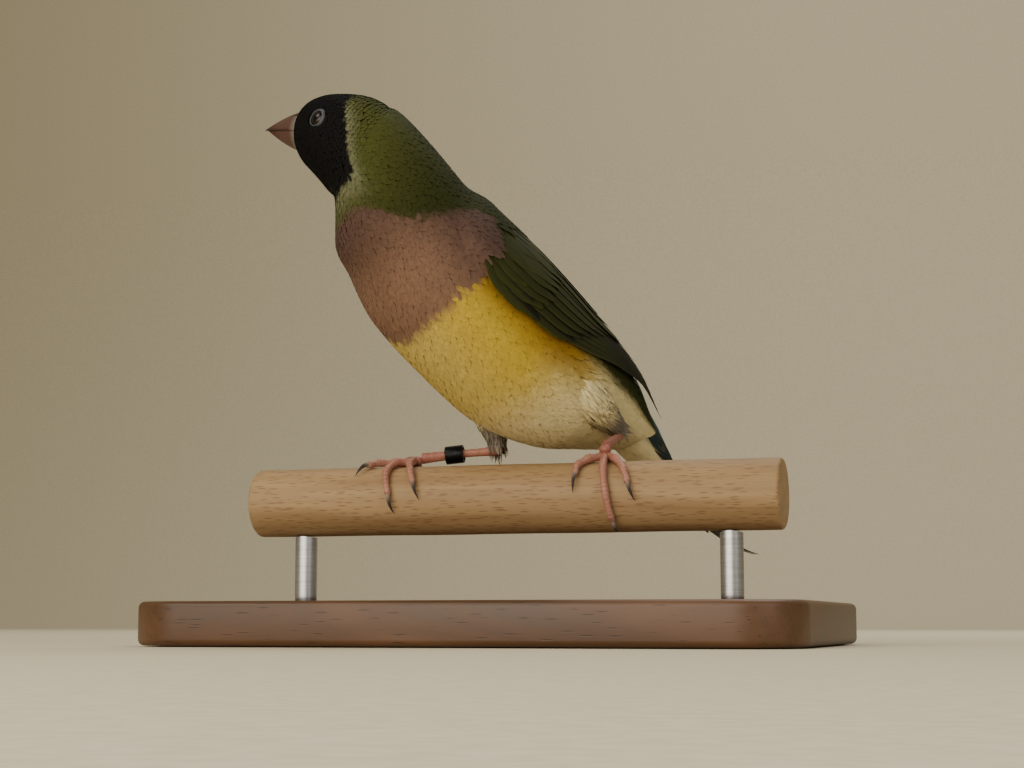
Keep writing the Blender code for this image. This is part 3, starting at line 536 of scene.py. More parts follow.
def wingEdges(x):
    # the folded wing's upper and lower edge as angles, at x along the torso
    rows = np.array(wing["edges"], float)
    return np.interp(x, rows[:, 0], rows[:, 1]), np.interp(x, rows[:, 0], rows[:, 2])


def flank(x, angle, side, lift):
    # the body's side lifted a little, and behind the rump a line that droops and closes inwards
    x, angle, lift = sameShape(x, angle, lift)
    near = np.maximum(x, wing["leavesBody"])
    tip = np.maximum(0, (wing["tipStart"] - near) / wing["tipRun"])
    point = bodySurface(stationAt(near), side * angle, lift + wing["tipLift"] * tip)
    beyond = near - x
    shift = torsoPoint(-beyond, -side * beyond * wing["closes"], -beyond * wing["droops"])
    return point + shift - torsoPoint(0.0, 0.0, 0.0)


# Body feathers and the skin under them
coat = {
    "overWing": 1.75,        # how far it rises over the folded wing's front
    "nape": 0.7,             # and in the turn of the neck
    "overThigh": 1.2,        # how far the flank feathers lift over the thighs
    "thighReach": 3.0,       # how wide a belt of them does so
    # place, spacing along, spacing round, depth, length over spacing
    "growth": ((-1, 1.5, 1.2, 0.8, 3.6), (2, 1.3, 1.05, 0.8, 3.6), (4.5, 1.1, 0.92, 0.75, 3.4),
               (6.4, 0.92, 0.8, 0.65, 3.2), (7.6, 0.72, 0.64, 0.55, 3.0), (8.6, 0.56, 0.52, 0.46, 3.0),
               (10.5, 0.44, 0.42, 0.38, 2.8), (12, 0.36, 0.36, 0.3, 2.5)),
    "body": {"rows": 6, "columns": 7, "round": 0.34, "fringe": 0.08, "quill": 0.4, "lean": 0.09,
             "camber": 0.03, "uneven": 0.02, "thick": 0.025, "vary": 0.035, "edge": 0.03, "taper": 0.3,
             "silk": 0.75},
    "face": {"rows": 5, "columns": 5, "round": 0.3, "fringe": 0.16, "quill": 0.45, "lean": 0.12,
             "camber": 0.02, "uneven": 0.02, "thick": 0.025, "vary": 0.06, "edge": 0.02, "taper": 0.3,
             "silk": 0.75},
    # piece, first and last place, shape
    "pieces": (("coat_rump_and_vent", -1, 2.0, "body"), ("coat_belly", 2.0, 3.4, "body"),
               ("coat_flanks_and_mantle", 3.4, 4.6, "body"), ("coat_breast", 4.6, 5.8, "body"),
               ("coat_neck", 5.8, 6.8, "body"), ("coat_nape", 6.8, 7.7, "body"),
               ("coat_throat", 7.7, 8.8, "face"), ("coat_head", 8.8, 13, "face")),
}


def growthAt(place, column):
    # straight lines between the rows of the growth table
    table = np.array(coat["growth"])
    return np.interp(place, table[:, 0], table[:, column])


def rootsOn(surface, first, last, along, around):
    # rows an even step apart along the form, and roots an even step apart round each row, every
    # other row set off by half a step; first is the tail end
    samples, corners = 500, 91
    places = np.linspace(first, last, samples)
    quarters = [stretch(surface, places, np.full(samples, turn))[0] for turn in (0.0, 90.0, 180.0, 270.0)]
    count = np.cumsum(np.mean(quarters, axis=0) / along(places)) * (last - first) / (samples - 1)
    rows = np.interp(np.arange(0.5, count[-1], 1.0), count, places)
    ring = np.linspace(0, 360, corners)
    place, angle = [], []
    for number, row in enumerate(rows):
        line = surface(np.full(corners, row), ring, 0.0)
        length = np.concatenate([[0], np.cumsum(np.linalg.norm(np.diff(line, axis=0), axis=1))])
        roots = max(3, round(length[-1] / around(row)))
        turns = (np.arange(roots) + 0.5 * (number % 2)) / roots * length[-1]
        angle.append(np.interp(turns, length, ring))
        place.append(np.full(roots, row))
    place, angle = np.concatenate(place), np.concatenate(angle)
    unitAlong, unitAround = stretch(surface, place, angle)
    place = place + draw.normal(0, 0.13, len(place)) * along(place) / unitAlong
    angle = angle + draw.normal(0, 0.11, len(place)) * around(place) / unitAround
    return np.clip(place, first, last), angle


head = {
    "eye": (-0.5, 6.7, 0.7), "looks": (0.35, 1.0, 0.12), "eyeRadius": 2.2, "shows": 1.5, "standsOut": 0.5,
    "ringInner": 1.47, "ringOuter": 1.98, "ringStops": ((0.25, "#24282c"), (0.7, "#454b50")),
    "beads": 34, "beadDepth": 0.1, "lidSlope": 0.62, "lidRoll": 0.24, "lidHeight": 0.5, "oval": 0.05,
    "bare": 0.12,            # how far the coat's feathers may lap over the ring's outer edge
    # from the pupil's middle outwards, in shares of the eye's half turn
    "irisStops": ((0.0, "#020202"), (0.115, "#020202"), (0.13, "#1a0f09"), (0.2, "#140b07"),
                  (0.24, "#050403")),
}


def eyeFrame(side):
    # the middle of an eye's opening, and the way it looks
    x, left, z = head["eye"]
    lookX, lookLeft, lookZ = head["looks"]
    rim = headPoint(x, side * left, z)
    return rim, unit(headPoint(x + lookX, side * (left + lookLeft), z + lookZ) - rim)


def overWing(place, angle, grow):
    # the coat's outer surface: it rises over the front and the upper edge of the folded wing,
    # and a little over the nape, where the feathers stand fuller in the turn of the neck
    place, angle = sameShape(place, angle)
    side = sideAngle(angle)
    top, low = wingEdges(torsoAt(place))
    low = top + 12 + (low - top - 12) * blend(4.15, 4.5, place)
    rise = blend(2.2, 3.4, place) * blend(5.6, 4.9, place)
    rise = rise * blend(top - 24, top - 2, side) * blend(low + 2, low - 10, side)
    full = hill(place - 8.35, 0.55) * blend(80, 25, side)
    return bodySurface(place, angle, grow + coat["overWing"] * rise + coat["nape"] * full)


def coatBody():
    # feathers in rows from the rump to the bill, none under the wings or on the eyes
    place, angle = rootsOn(bodySurface, 0.02, lastPlace - 0.03,
                           lambda p: growthAt(p, 1), lambda p: growthAt(p, 2))
    side = sideAngle(angle)
    top, low = wingEdges(torsoAt(place))
    front = edgeAt("breastLow", side) + 0.2 + 0.2 * blend(76, 86, side)  # the wing shows from here on
    front = np.where(side > 57, front, 4.75)
    under = (side > top + 14) & (side < np.where(place > 4.2, 91, low - 16))
    covered = (place < front) & (place > 0.6) & under
    place, angle = place[~covered], angle[~covered]
    length = growthAt(place, 1) * growthAt(place, 4) * draw.normal(1, 0.06, len(place))
    along = stretch(bodySurface, place, angle)[0]
    keep = np.ones(len(place), bool)
    bare = head["ringOuter"] - head["bare"]
    for sign in (1, -1):
        rim, outward = eyeFrame(sign)
        for step in range(5):  # feathers ahead of an eye end short of its ring
            reach = np.linspace(0, 1, 7)[:, None] * length / along
            points = bodySurface(place - reach, angle + 0 * reach, 0.0) - rim
            flat = points - (points @ outward)[..., None] * outward
            nearest = np.where(np.linalg.norm(points, axis=-1) < 5, np.linalg.norm(flat, axis=-1), 9)
            root, nearest = nearest[0], nearest.min(axis=0)
            length = np.where(nearest < bare, length * 0.82, length)
        keep &= (root > bare) & (nearest > head["ringOuter"] - 0.4)
    place, angle, length = place[keep], angle[keep], length[keep]
    over = np.zeros(len(place))  # flank feathers sweep over the tops of the thighs
    for word in ("left", "right"):
        top = np.array(thighs[word][0]) + (0, 0, perchAxis)
        away = np.linalg.norm(bodySurface(place, angle, 0.0) - top, axis=-1)
        over = np.maximum(over, hill(away - 4.6, coat["thighReach"]))
    length = length * (1 + 0.9 * over)
    wander = draw.normal(0, 0.04, len(place))
    for name, low, high, kind in coat["pieces"]:
        part = (place >= low) & (place < high)
        shift = wander[part][:, None, None]

        def colours(p, a):
            return plumageAt(p, a, shift)

        lift = np.abs(draw.normal(0.0, 0.02, part.sum())) + coat["overThigh"] * over[part]
        size = {"length": length[part], "half": growthAt(place[part], 2),
                "depth": growthAt(place[part], 3), "lift": lift}
        lot = layFeathers(overWing, bodyMap, colours, place[part], angle[part], size, coat[kind])
        featherPiece(name, [lot], bodyFeather)
        print(name, part.sum(), "feathers,", len(lot["faces"]) * 2, "triangles")


def capped(surface, unwrap, colours, first, last, rows, columns, depth):
    # a closed form of rings, each end closed by a fan to its middle
    place = np.linspace(first, last, rows)[:, None] + np.zeros(columns)
    angle = np.arange(columns) * 360 / columns + 0 * place
    points = surface(place, angle, -depth(place))
    tint = colours(place, angle)
    maps = unwrap(place, angle)
    points, tint, maps = (v.reshape(-1, v.shape[-1]) for v in (points, tint, maps))
    ends = [points[:columns].mean(axis=0), points[-columns:].mean(axis=0)]
    total = rows * columns
    ring = np.arange(columns)
    fans = [np.stack([ring, 0 * ring + total, np.roll(ring, -1)], 1),
            np.stack([ring + total - columns, np.roll(ring, -1) + total - columns, 0 * ring + total + 1], 1)]
    return (np.vstack([points, ends]), gridQuads(rows, columns, around=True), np.concatenate(fans),
            np.vstack([tint, tint[:1], tint[-1:]]), np.vstack([maps, maps[:1], maps[-1:]]))


# Thighs: short feathered tubes from the flanks to the heels
thighs = {
    "left": ((9.0, -1.0, 25.0), (14.8, 3.4, 19.0), (18.8, 10.0, 14.2)),
    "right": ((-7.0, 8.0, 25.0), (-5.6, 6.0, 17.6), (-4.2, 3.8, 11.4)),
    "radii": (5.3, 4.3, 1.75),
    "spacing": 0.68, "length": 5.2, "half": 0.5, "depth": 0.8,
    "grey": 0.35,            # share of the feathers that are streaked with grey
    "shape": dict(coat["body"], columns=5, lean=0.24, vary=0.08, round=0.5, taper=0.5),
}


def thighSurface(word):
    rows = [(*point, radius) for point, radius in zip(thighs[word], thighs["radii"])]

    def surface(place, angle, grow):
        # a round tube along a curve, place 1 at the flank and 0 at the heel
        place, angle, grow = sameShape(place, angle, grow)
        here = curveRows(rows, np.clip((1 - place) * 2, 0, 2))
        after = curveRows(rows, np.clip((1 - place) * 2 + 0.05, 0.05, 2))
        before = curveRows(rows, np.clip((1 - place) * 2 - 0.05, 0, 1.95))
        along = unit(after[..., :3] - before[..., :3])
        side = unit(np.cross(along, (1.0, 0.0, 0.0)))
        turn = np.radians(angle)[..., None]
        out = side * np.cos(turn) + np.cross(side, along) * np.sin(turn)
        radius = np.maximum(here[..., 3] + grow, 0.2)[..., None]
        past = np.minimum(place, 0)[..., None] * 12
        return here[..., :3] - along * past + radius * out + (0, 0, perchAxis)

    return surface


def thighColour(place, angle):
    # cream, with grey down at the heel
    place, angle = sameShape(place, angle)
    return mixed(tone["down"], tone["cream"], blend(0.06, 0.4, place))


def thighSpacing(place):
    return thighs["spacing"] + 0 * place


def coatThighs():
    # long fine feathers, some streaked with grey, down to the heels
    lots = []
    for number, word in enumerate(("left", "right")):
        surface = thighSurface(word)
        place, angle = rootsOn(surface, 0.06, 0.98, thighSpacing, thighSpacing)
        count = len(place)
        size = {"length": thighs["length"] * draw.normal(1, 0.15, count),
                "half": np.full(count, thighs["half"]), "depth": np.full(count, thighs["depth"]),
                "lift": np.abs(draw.normal(0.1, 0.15, count))}
        grey = 0.6 * (draw.random((count, 1, 1)) < thighs["grey"])

        def colours(p, a):
            return mixed(thighColour(p, a), tone["down"] * 0.6, grey * blend(0.8, 0.3, p + 0 * a))

        lots.append(layFeathers(surface, thighMap(number), colours, place, angle, size, thighs["shape"]))
    featherPiece("coat_thighs", lots, bodyFeather)
    print("thigh feathers", sum(len(lot["points"]) for lot in lots))


def makeSkin():
    # one skin for rump, torso, neck, head and thighs, a coat's depth inside the solids
    forms = [capped(bodySurface, bodyMap, plumageAt, 0, lastPlace, 150, 96, lambda p: growthAt(p, 3))]
    for number, word in enumerate(("left", "right")):
        forms.append(capped(thighSurface(word), thighMap(number), thighColour, 0.04, 1, 24, 32,
                            lambda p: thighs["depth"] + 0 * p))
    start, quads, fans = 0, [], []
    for points, ring, fan, _, _ in forms:
        quads.append(ring + start)
        fans.append(fan + start)
        start += len(points)
    points, tint, maps = (np.vstack([form[k] for form in forms]) for k in (0, 3, 4))
    # painted shade: the skin under the coat takes the plumage darkened by a fifth
    skin = makePiece("skin", points * mm, [np.concatenate(quads), np.concatenate(fans)], skinMaterial(),
                     maps={"OFBake": maps}, tint=tint * 0.8)
    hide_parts("torso", "neck", "head", "thigh_left", "thigh_right")
    print("skin", len(points), "points")


makeSkin()
coatBody()
coatThighs()


# Long feathers of the wings and the tail
def layVanes(where, centre, colours, count, shape):
    # each vane is a grid: it widens by its outline, its rim ends round, it is cambered, tilted so
    # that one edge lies over the next, and raised along its shaft; where(run, across, height)
    # turns shares of the length and millimetres across and out into points
    rows, columns = shape["rows"], shape["columns"]
    s = np.linspace(0, 1, rows)[None, :, None] ** 0.9
    t = np.linspace(-1, 1, columns)[None, None, :]
    flat = np.zeros((count, rows, columns))
    outline = np.array(shape["outline"])
    width = np.interp(s, outline[:, 0], outline[:, 1])
    fringe = draw.uniform(0, shape["fringe"], (count, 1, columns))
    run = s * (1 - shape["round"] * np.abs(t) ** 2.2 - fringe)
    web = np.where(t > 0, 1 - shape["narrow"], 1 + shape["narrow"])  # the outer web is narrower
    across = t * web * shape["half"] * width + flat
    height = shape["lift"][:, None, None] + math.tan(math.radians(shape["tilt"])) * across
    height = height - shape["camber"] * t ** 2 * width
    height = height + draw.uniform(-0.5, 0.5, (count, 1, 1)) * shape["uneven"]
    shaft = shape["shaft"] * hill(t, 0.1) * (1 - 0.8 * s)
    upper = where(run, across, height + shaft)
    lower = where(run, across, height - shape["thick"] * (1 - t ** 4) * (1 - 0.5 * s))
    tint = colours(s + 0 * t, t + 0 * s) * (1 + draw.normal(0, shape["vary"], (count, 1, 1)))[..., None]
    barbs = np.stack([s * shape["length"] + flat, across], -1)
    patch = shape["patch"] * np.stack([2 * s - 1 + flat, t + flat], -1) + centre[:, None, None, :]
    # painted shade: each lower sheet takes the tint darkened by the shape's under share
    return {"points": joinShells(upper, lower), "tint": joinShells(tint, tint * shape["under"]),
            "barbs": joinShells(barbs, barbs), "patch": joinShells(patch, patch),
            "faces": shellFaces(count, rows, columns)}


vane = {
    "flight": {"rows": 18, "columns": 9, "round": 0.1, "narrow": 0.25, "tilt": 9, "camber": 0.16,
               "uneven": 0.0, "shaft": 0.12, "thick": 0.14, "fringe": 0.012, "vary": 0.04, "under": 0.8,
               "patch": 0.0072, "outline": ((0, 0.35), (0.15, 0.75), (0.35, 0.95), (0.62, 1), (0.82, 0.94),
                                            (0.93, 0.8), (1, 0.55))},
    "covert": {"rows": 10, "columns": 11, "round": 0.24, "narrow": 0.08, "tilt": 9, "camber": 0.22,
               "uneven": 0.1, "shaft": 0.05, "thick": 0.12, "fringe": 0.05, "vary": 0.06, "under": 0.8,
               "patch": 0.0054, "outline": ((0, 0.4), (0.25, 0.85), (0.55, 1), (0.8, 0.98), (0.94, 0.8),
                                            (1, 0.6))},
    "rectrix": {"rows": 24, "columns": 9, "round": 0.06, "narrow": 0.12, "tilt": 6, "camber": 0.14,
                "uneven": 0.0, "shaft": 0.14, "thick": 0.14, "fringe": 0.01, "vary": 0.03, "under": 0.85,
                "patch": 0.009, "outline": ((0, 0.5), (0.2, 0.85), (0.5, 1), (0.8, 0.95), (0.94, 0.7),
                                            (1, 0.3))},
    "pin": {"rows": 34, "columns": 9, "round": 0.02, "narrow": 0.0, "tilt": 6, "camber": 0.12,
            "uneven": 0.0, "shaft": 0.16, "thick": 0.16, "fringe": 0.004, "vary": 0.03, "under": 0.85,
            "patch": 0.009, "outline": ((0, 0.5), (0.3, 0.95), (0.52, 1), (0.66, 0.7), (0.76, 0.26),
                                        (0.9, 0.16), (1, 0.08))},
}
wingVanes = {
    "olive": "#2d3010", "oliveEdge": "#43471a", "brown": "#13120c", "web": "#1f1f0f", "grey": "#55534a",
    # colour, how many, root x, tip x, root span, tip span, half width, lift; pairs run from the
    # innermost feather to the outermost, spans from the wing's upper edge to its lower one
    "tiers": (("primary", 9, (-4, -9), (-31, -47.5), (0.5, 0.96), (0.27, 0.52), 1.9, (1.05, 0.75)),
              ("secondary", 8, (-1, 2), (-28, -17), (0.34, 0.94), (0.28, 0.9), 2.3, (1.25, 1.0)),
              ("tertial", 3, (-1, -1), (-22, -28), (0.08, 0.32), (0.12, 0.36), 3.0, (1.55, 1.35)),
              ("secondary", 2, (2, 2), (-5, -8), (0.88, 0.95), (0.88, 0.97), 1.1, (1.45, 1.4)),  # alula
              ("covert", 12, (1, 3.5), (-12, -7.5), (0.08, 0.96), (0.05, 0.96), 1.7, (1.55, 1.35)),
              ("covert", 12, (4, 6), (-5, -2), (0.06, 0.96), (0.03, 0.96), 1.6, (1.6, 1.4)),
              ("covert", 14, (6, 7.5), (-1, 1), (0.04, 0.92), (0.0, 0.94), 1.35, (1.5, 1.35)),
              ("covert", 14, (8, 8.5), (2, 3.5), (0.02, 0.86), (-0.02, 0.9), 1.25, (1.3, 1.25))),
}
for name in ("olive", "oliveEdge", "brown", "web", "grey"):
    tone[name] = linear(wingVanes[name])


def wingColour(kind):
    # t is +1 on the outer edge; flight feathers are dark with an olive outer edge, coverts olive
    def colours(s, t):
        if kind == "covert":
            edge = 0.35 * blend(0.75, 1.0, s) + 0.25 * blend(0.3, 1.0, np.abs(t))
            return mixed(mixed(tone["olive"], tone["oliveEdge"], edge), tone["brown"], 0.35 * hill(t, 0.1))
        share = {"primary": 0.55 * blend(0.75, 0.35, s), "secondary": 0.8, "tertial": 0.9}[kind]
        base = mixed(tone["web"], tone["brown"], blend(0.3, 1.0, s))
        base = mixed(base, tone["olive"], share * blend(-0.25, 0.45, t))
        base = mixed(base, tone["oliveEdge"], share * blend(0.72, 1.0, t))
        if kind == "primary":
            base = mixed(base, tone["grey"], 0.35 * blend(0.93, 1.0, t) * blend(0.75, 0.2, s))
        return mixed(base, tone["brown"] * 0.6, 0.6 * hill(t, 0.09))
    return colours


def wingCore(side):
    # the folded arm under the vanes: a closed lens over the flank, thin at its rim
    rows, columns = 40, 21
    s = np.linspace(-27, 11, rows)[:, None]
    t = np.linspace(-1, 1, columns)[None, :]
    top, low = wingEdges(s)
    angle = (top + low) / 2 + (low - top) / 2 * t * 0.94
    swell = (1 - np.abs(t) ** 2.5) * (1 - np.abs((s + 8) / 19.01) ** 3)
    upper = flank(s, angle, side, -0.3 + 1.1 * swell)
    lower = flank(s, angle, side, -0.4 - 0.2 * swell)
    points = joinShells(upper[None], lower[None])[0]
    flat = np.stack([(s + 30) / 50 + 0 * t, 0.5 + 0.45 * t + 0 * s], -1)[None]
    return points, shellFaces(1, rows, columns), joinShells(flat, flat)[0]


def makeWing(word, side):
    # tiers of vanes, each spread evenly between its innermost and its outermost feather
    lots = []
    for colour, count, rootX, tipX, rootSpan, tipSpan, half, lift in wingVanes["tiers"]:
        part = np.linspace(0, 1, count)[:, None, None]
        pairs = (rootX, tipX, rootSpan, tipSpan, lift)
        x0, x1, span0, span1, rise = (inner + (outer - inner) * part for inner, outer in pairs)
        if colour == "covert":
            x1 = x1 + draw.normal(0, 0.35, x1.shape)
            span1 = span1 + draw.normal(0, 0.008, span1.shape)
        if colour == "primary":  # the tips stand further apart towards the longest
            x1 = tipX[0] + (tipX[1] - tipX[0]) * part ** 0.85

        def where(run, across, height):
            x = x0 + (x1 - x0) * run
            top, low = wingEdges(x)
            angle = top + (low - top) * (span0 + (span1 - span0) * run)
            degree = flank(x, angle + 1, side, 0.0) - flank(x, angle, side, 0.0)
            return flank(x, angle + across / np.linalg.norm(degree, axis=-1), side, height)

        centre = np.stack([0.06 + 0.88 * (x0.ravel() + 30) / 50, 0.06 + 0.88 * span0.ravel()], -1)
        shape = dict(vane["covert" if colour == "covert" else "flight"], half=half, lift=rise.ravel(),
                     length=float(np.mean(x0 - x1)))
        lots.append(layVanes(where, centre, wingColour(colour), count, shape))
    piece = featherPiece("wing_vanes_" + word, lots, flightFeather)
    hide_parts("wing_" + word)
    points, faces, flat = wingCore(side)
    under = makePiece("wing_down_" + word, points * mm, [faces], bodyFeather,
                      maps={"OFBake": flat, "barbs": flat}, tint=np.ones_like(points) * tone["web"])
    print("wing", word, sum(len(lot["faces"]) for lot in lots) * 2, "triangles")


makeWing("left", 1)
makeWing("right", -1)


# Tail: six pairs in steps, the two middle ones ending in pins
tail = {
    "root": -45.0, "length": 31.3, "pin": 10.2, "taper": 0.75, "pairs": 6, "grade": 1.35, "half": 2.35,
    "spread": 1.05, "layer": 0.4, "middleLayer": 1.1, "height": 3.6, "droop": 4.0, "pinRise": 4.2,
    "roll": 9.0, "rootSizes": (5.2, 6.6, 3.9),
    "coverts": 15.0, "covertEnd": (1.5, 0.35), "covertAlong": 2.0, "covertAround": 1.8,
    "covertLength": 8.0, "covertHalf": 1.6, "covertDepth": 0.5,
    "black": "#141412", "blackEdge": "#242622", "paleWeb": "#8f8d84", "duskyEdge": "#33332f",
}
for name in ("black", "blackEdge", "paleWeb", "duskyEdge"):
    tone[name] = linear(tail[name])


def tailPoint(x, left, up):
    # the tail's own frame: it rolls a little to one side, droops, and its pins rise at the end
    step = np.clip((tail["root"] - x) / (tail["length"] + tail["pin"]), 0, 1)
    roll = np.radians(tail["roll"]) * np.clip(3 * step, 0, 1)
    across = left * np.cos(roll) - up * np.sin(roll)
    height = left * np.sin(roll) + up * np.cos(roll) + tail["height"]
    pins = tail["pinRise"] * np.clip(3 * step - 2, 0, 1) ** 2
    return torsoPoint(x, across, height + pins - tail["droop"] * step)


def tailColour(s, t):
    # black, a little paler at the edges and darker on the shaft
    base = mixed(tone["black"], tone["blackEdge"], blend(0.5, 1.0, np.abs(t)))
    return mixed(base, tone["black"] * 0.6, 0.6 * hill(t, 0.08))


def tailUnder(tint, shape, pair):
    # the undersides: pale grey inner webs with dark edges, darker towards the tip
    rows, columns = shape["rows"], shape["columns"]
    s = np.linspace(0, 1, rows)[1:-1, None] ** 0.9
    t = np.linspace(-1, 1, columns)[None, 1:-1]
    dusky = np.maximum(blend(0.35, 0.75, np.abs(t)), blend(0.6, 0.8, s))
    shade = mixed(tone["paleWeb"], tone["duskyEdge"], dusky)
    shade = mixed(shade, tone["black"], blend(0.8, 0.95, s) * (0.6 if pair else 1.0))
    tint = tint.copy()
    tint[0, rows * columns:] = shade.reshape(-1, 3)
    return tint


def makeTail():
    # each pair lies a layer under the one before it and ends a little shorter
    lots = []
    for pair in range(tail["pairs"]):
        length = tail["length"] - tail["grade"] * pair if pair else tail["length"] + tail["pin"]
        for side in (1, -1):
            long = length + side * 0.3 * (pair > 0)

            def where(run, across, height):
                x = tail["root"] - 2 - (long - 2) * run
                if pair:
                    left = 0.5 + (tail["spread"] * pair + 0.35) * (0.45 + 0.55 * run)
                else:
                    left = 0.85 - 0.35 * run
                up = (tail["middleLayer"] - tail["layer"] * pair) * (0.8 + 0.2 * run) - side * 0.08
                return tailPoint(x, side * (left + across), up + height)

            kind = "rectrix" if pair else "pin"
            shape = dict(vane[kind], half=tail["half"], lift=np.zeros(1), length=long)
            lot = layVanes(where, np.array([[0.5 + side * (0.04 + 0.08 * pair), 0.5]]), tailColour, 1, shape)
            lot["tint"] = tailUnder(lot["tint"], shape, pair)
            lots.append(lot)
    piece = featherPiece("tail_vanes", lots, flightFeather)
    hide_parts("tail")
    print("tail", sum(len(lot["faces"]) for lot in lots) * 2, "triangles")


def tailRoot(place, angle, grow):
    # place 0 at the coverts' end and 1 at the rump; an oval that joins the body's last ring
    place, angle, grow = sameShape(place, angle, grow)
    half, over, under = tail["rootSizes"]
    narrowing, endHigh = tail["covertEnd"]
    turn = np.radians(angle)
    x = tail["root"] + 2 - (tail["coverts"] + 2) * (1 - place)
    step = np.clip((tail["root"] - x) / tail["coverts"], 0, 1)
    wide = half - narrowing * step ** 1.5 + grow
    high = np.where(np.cos(turn) > 0, over, under) * (1 - step) ** tail["taper"] + endHigh + grow
    return tailPoint(x, wide * np.sin(turn), high * np.cos(turn))


def coatTail():
    # long feathers over and under the tail's root, the last ones flat on the vanes
    place, angle = rootsOn(tailRoot, 0.02, 1.0, lambda p: tail["covertAlong"] + 0 * p,
                           lambda p: tail["covertAround"])
    count = len(place)
    size = {"length": tail["covertLength"] * draw.normal(1, 0.08, count),
            "half": np.full(count, tail["covertHalf"]), "depth": np.full(count, tail["covertDepth"]),
            "lift": np.abs(draw.normal(0.05, 0.05, count))}

    def colours(p, a):
        side = sideAngle(a)
        over = mixed(tone["rump"], tone["rump"] * 0.7, 1 - p)
        over = mixed(over, tone["black"], blend(30, 62, side) * 0.9)
        return mixed(over, tone["vent"], blend(92, 112, side))

    def unwrap(p, a):
        return np.stack([0.1 + 0.8 * p, 0.02 + 0.95 * ((a + 180) % 360) / 360], -1)

    lot = layFeathers(tailRoot, unwrap, colours, place, angle, size, dict(coat["body"], rows=8))
    featherPiece("coat_tail_coverts", [lot], bodyFeather)
    points, quads, fans, tint, maps = capped(tailRoot, unwrap, colours, 0.05, 1.0, 24, 32,
                                             lambda p: tail["covertDepth"] + 0 * p)
    piece = makePiece("tail_root_skin", points * mm, [quads, fans], bodyFeather,
                      maps={"OFBake": maps, "barbs": maps}, tint=tint)
    print("tail coverts", count, "feathers")


makeTail()
coatTail()


# Head: eyes, rings of bare skin round them, and the bill
bill = {
    "mouth": -1.3, "length": 9.2, "lowerShare": 0.93, "drop": 0.5, "upper": 4.3, "lower": 3.5, "half": 3.7,
    "lowerHalf": 0.94, "tip": 0.015, "start": 0.15, "ridge": 0.05, "ridgeWidth": 0.2,
    "depthCurve": 1.45, "widthCurve": 1.25, "roundness": 0.94, "hollow": 0.35,
    "lap": (-0.12, -0.02),   # where the upper and the lower edge lie from the mouth line
    "nostril": (1.2, 2.1, 3.35), "nostrilSize": 0.42, "nostrilDepth": 0.4,
    "band": "#665d54", "pink": "#4f372d", "red": "#401d17", "dark": "#1c100c",
}


def spokes(outward):
    # two directions square to outward and to each other
    first = unit(np.cross(outward, (0, 0, 1)))
    return first, np.cross(first, outward)


# Wet cornea: very smooth and clear, so it mirrors the lights in one sharp point each
def eyeMaterial():
    made, tree, shader = newMaterial("cornea_over_iris", Roughness=0.04, IOR=1.34)
    flat = addNode(tree, "ShaderNodeUVMap", uv_map="eye").outputs["UV"]
    across = addNode(tree, "ShaderNodeSeparateXYZ", {"Vector": flat}).outputs["X"]
    where = addNode(tree, "ShaderNodeTexCoord").outputs["Object"]
    # fibres of 0.33 mm, coarser than the real ones so that they show
    fibres = addNode(tree, "ShaderNodeTexNoise", {"Vector": where, "Scale": 3000.0, "Detail": 2.0})
    ragged = {0: fibres.outputs["Fac"], 1: 0.03, 2: across}
    edge = addNode(tree, "ShaderNodeMath", ragged, operation="MULTIPLY_ADD").outputs["Value"]
    iris = addNode(tree, "ShaderNodeValToRGB", {"Fac": edge}, head["irisStops"])
    tree.links.new(iris.outputs["Color"], shader.inputs["Base Color"])
    return made


# Bare skin of the eye ring: dry, finely wrinkled, pale grey
def ringMaterial():
    made, tree, shader = newMaterial("eye_ring_skin", Roughness=0.55)
    where = addNode(tree, "ShaderNodeTexCoord").outputs["Object"]
    # wrinkles 0.25 mm apart
    wrinkles = addNode(tree, "ShaderNodeTexNoise", {"Vector": where, "Scale": 4000.0, "Detail": 4.0})
    wrinkles = wrinkles.outputs["Fac"]
    grey = addNode(tree, "ShaderNodeValToRGB", {"Fac": wrinkles}, head["ringStops"])
    dress(tree, shader, grey.outputs["Color"], wrinkles, 0.05, 0.8)
    return made


def makeEyes():
    cornea, skin = eyeMaterial(), ringMaterial()
    sink = math.sqrt(head["eyeRadius"] ** 2 - head["shows"] ** 2) - head["standsOut"]
    rows, columns = 48, 64
    around, section = 180, 16
    for word, side in (("left", 1), ("right", -1)):
        rim, outward = eyeFrame(side)
        first, second = spokes(outward)
        # a ball as circles round the line of sight; the map's x is the share of the half turn
        polar = np.linspace(0.001, np.pi - 0.001, rows)[:, None, None]
        turn = circle(columns)[None, :, None]
        ball = outward * np.cos(polar) + (first * np.cos(turn) + second * np.sin(turn)) * np.sin(polar)
        points = (rim - outward * sink + head["eyeRadius"] * ball).reshape(-1, 3)
        share = np.stack([polar / np.pi + 0 * turn, turn / fullTurn + 0 * polar], -1).reshape(-1, 2)
        piece = makePiece("eyeball_" + word, points * mm, tubeFaces(rows, columns), cornea,
                          maps={"eye": share})
        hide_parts("eye_" + word)
        # the lids: an oval roll round the opening, notched into a row of small beads
        turn, tilt = circle(around)[:, None, None], circle(section)[None, :, None]
        bead = 1 + head["beadDepth"] * np.cos(turn * head["beads"]) * np.clip(np.sin(tilt), 0, 1)
        inner, outer = head["ringInner"], head["ringOuter"]
        reach = (inner + outer) / 2 + (outer - inner) / 2 * np.cos(tilt)
        height = head["lidHeight"] - head["lidSlope"] * (reach - inner)
        height = height + head["lidRoll"] * bead * np.sin(tilt)
        reach = reach * (1 + head["oval"] * np.cos(turn * 2))
        points = rim + (first * np.cos(turn) + second * np.sin(turn)) * reach + outward * height
        piece = makePiece("eyelids_" + word, points * mm, [gridQuads(around, section, True, True)], skin)
    print("eyes made")


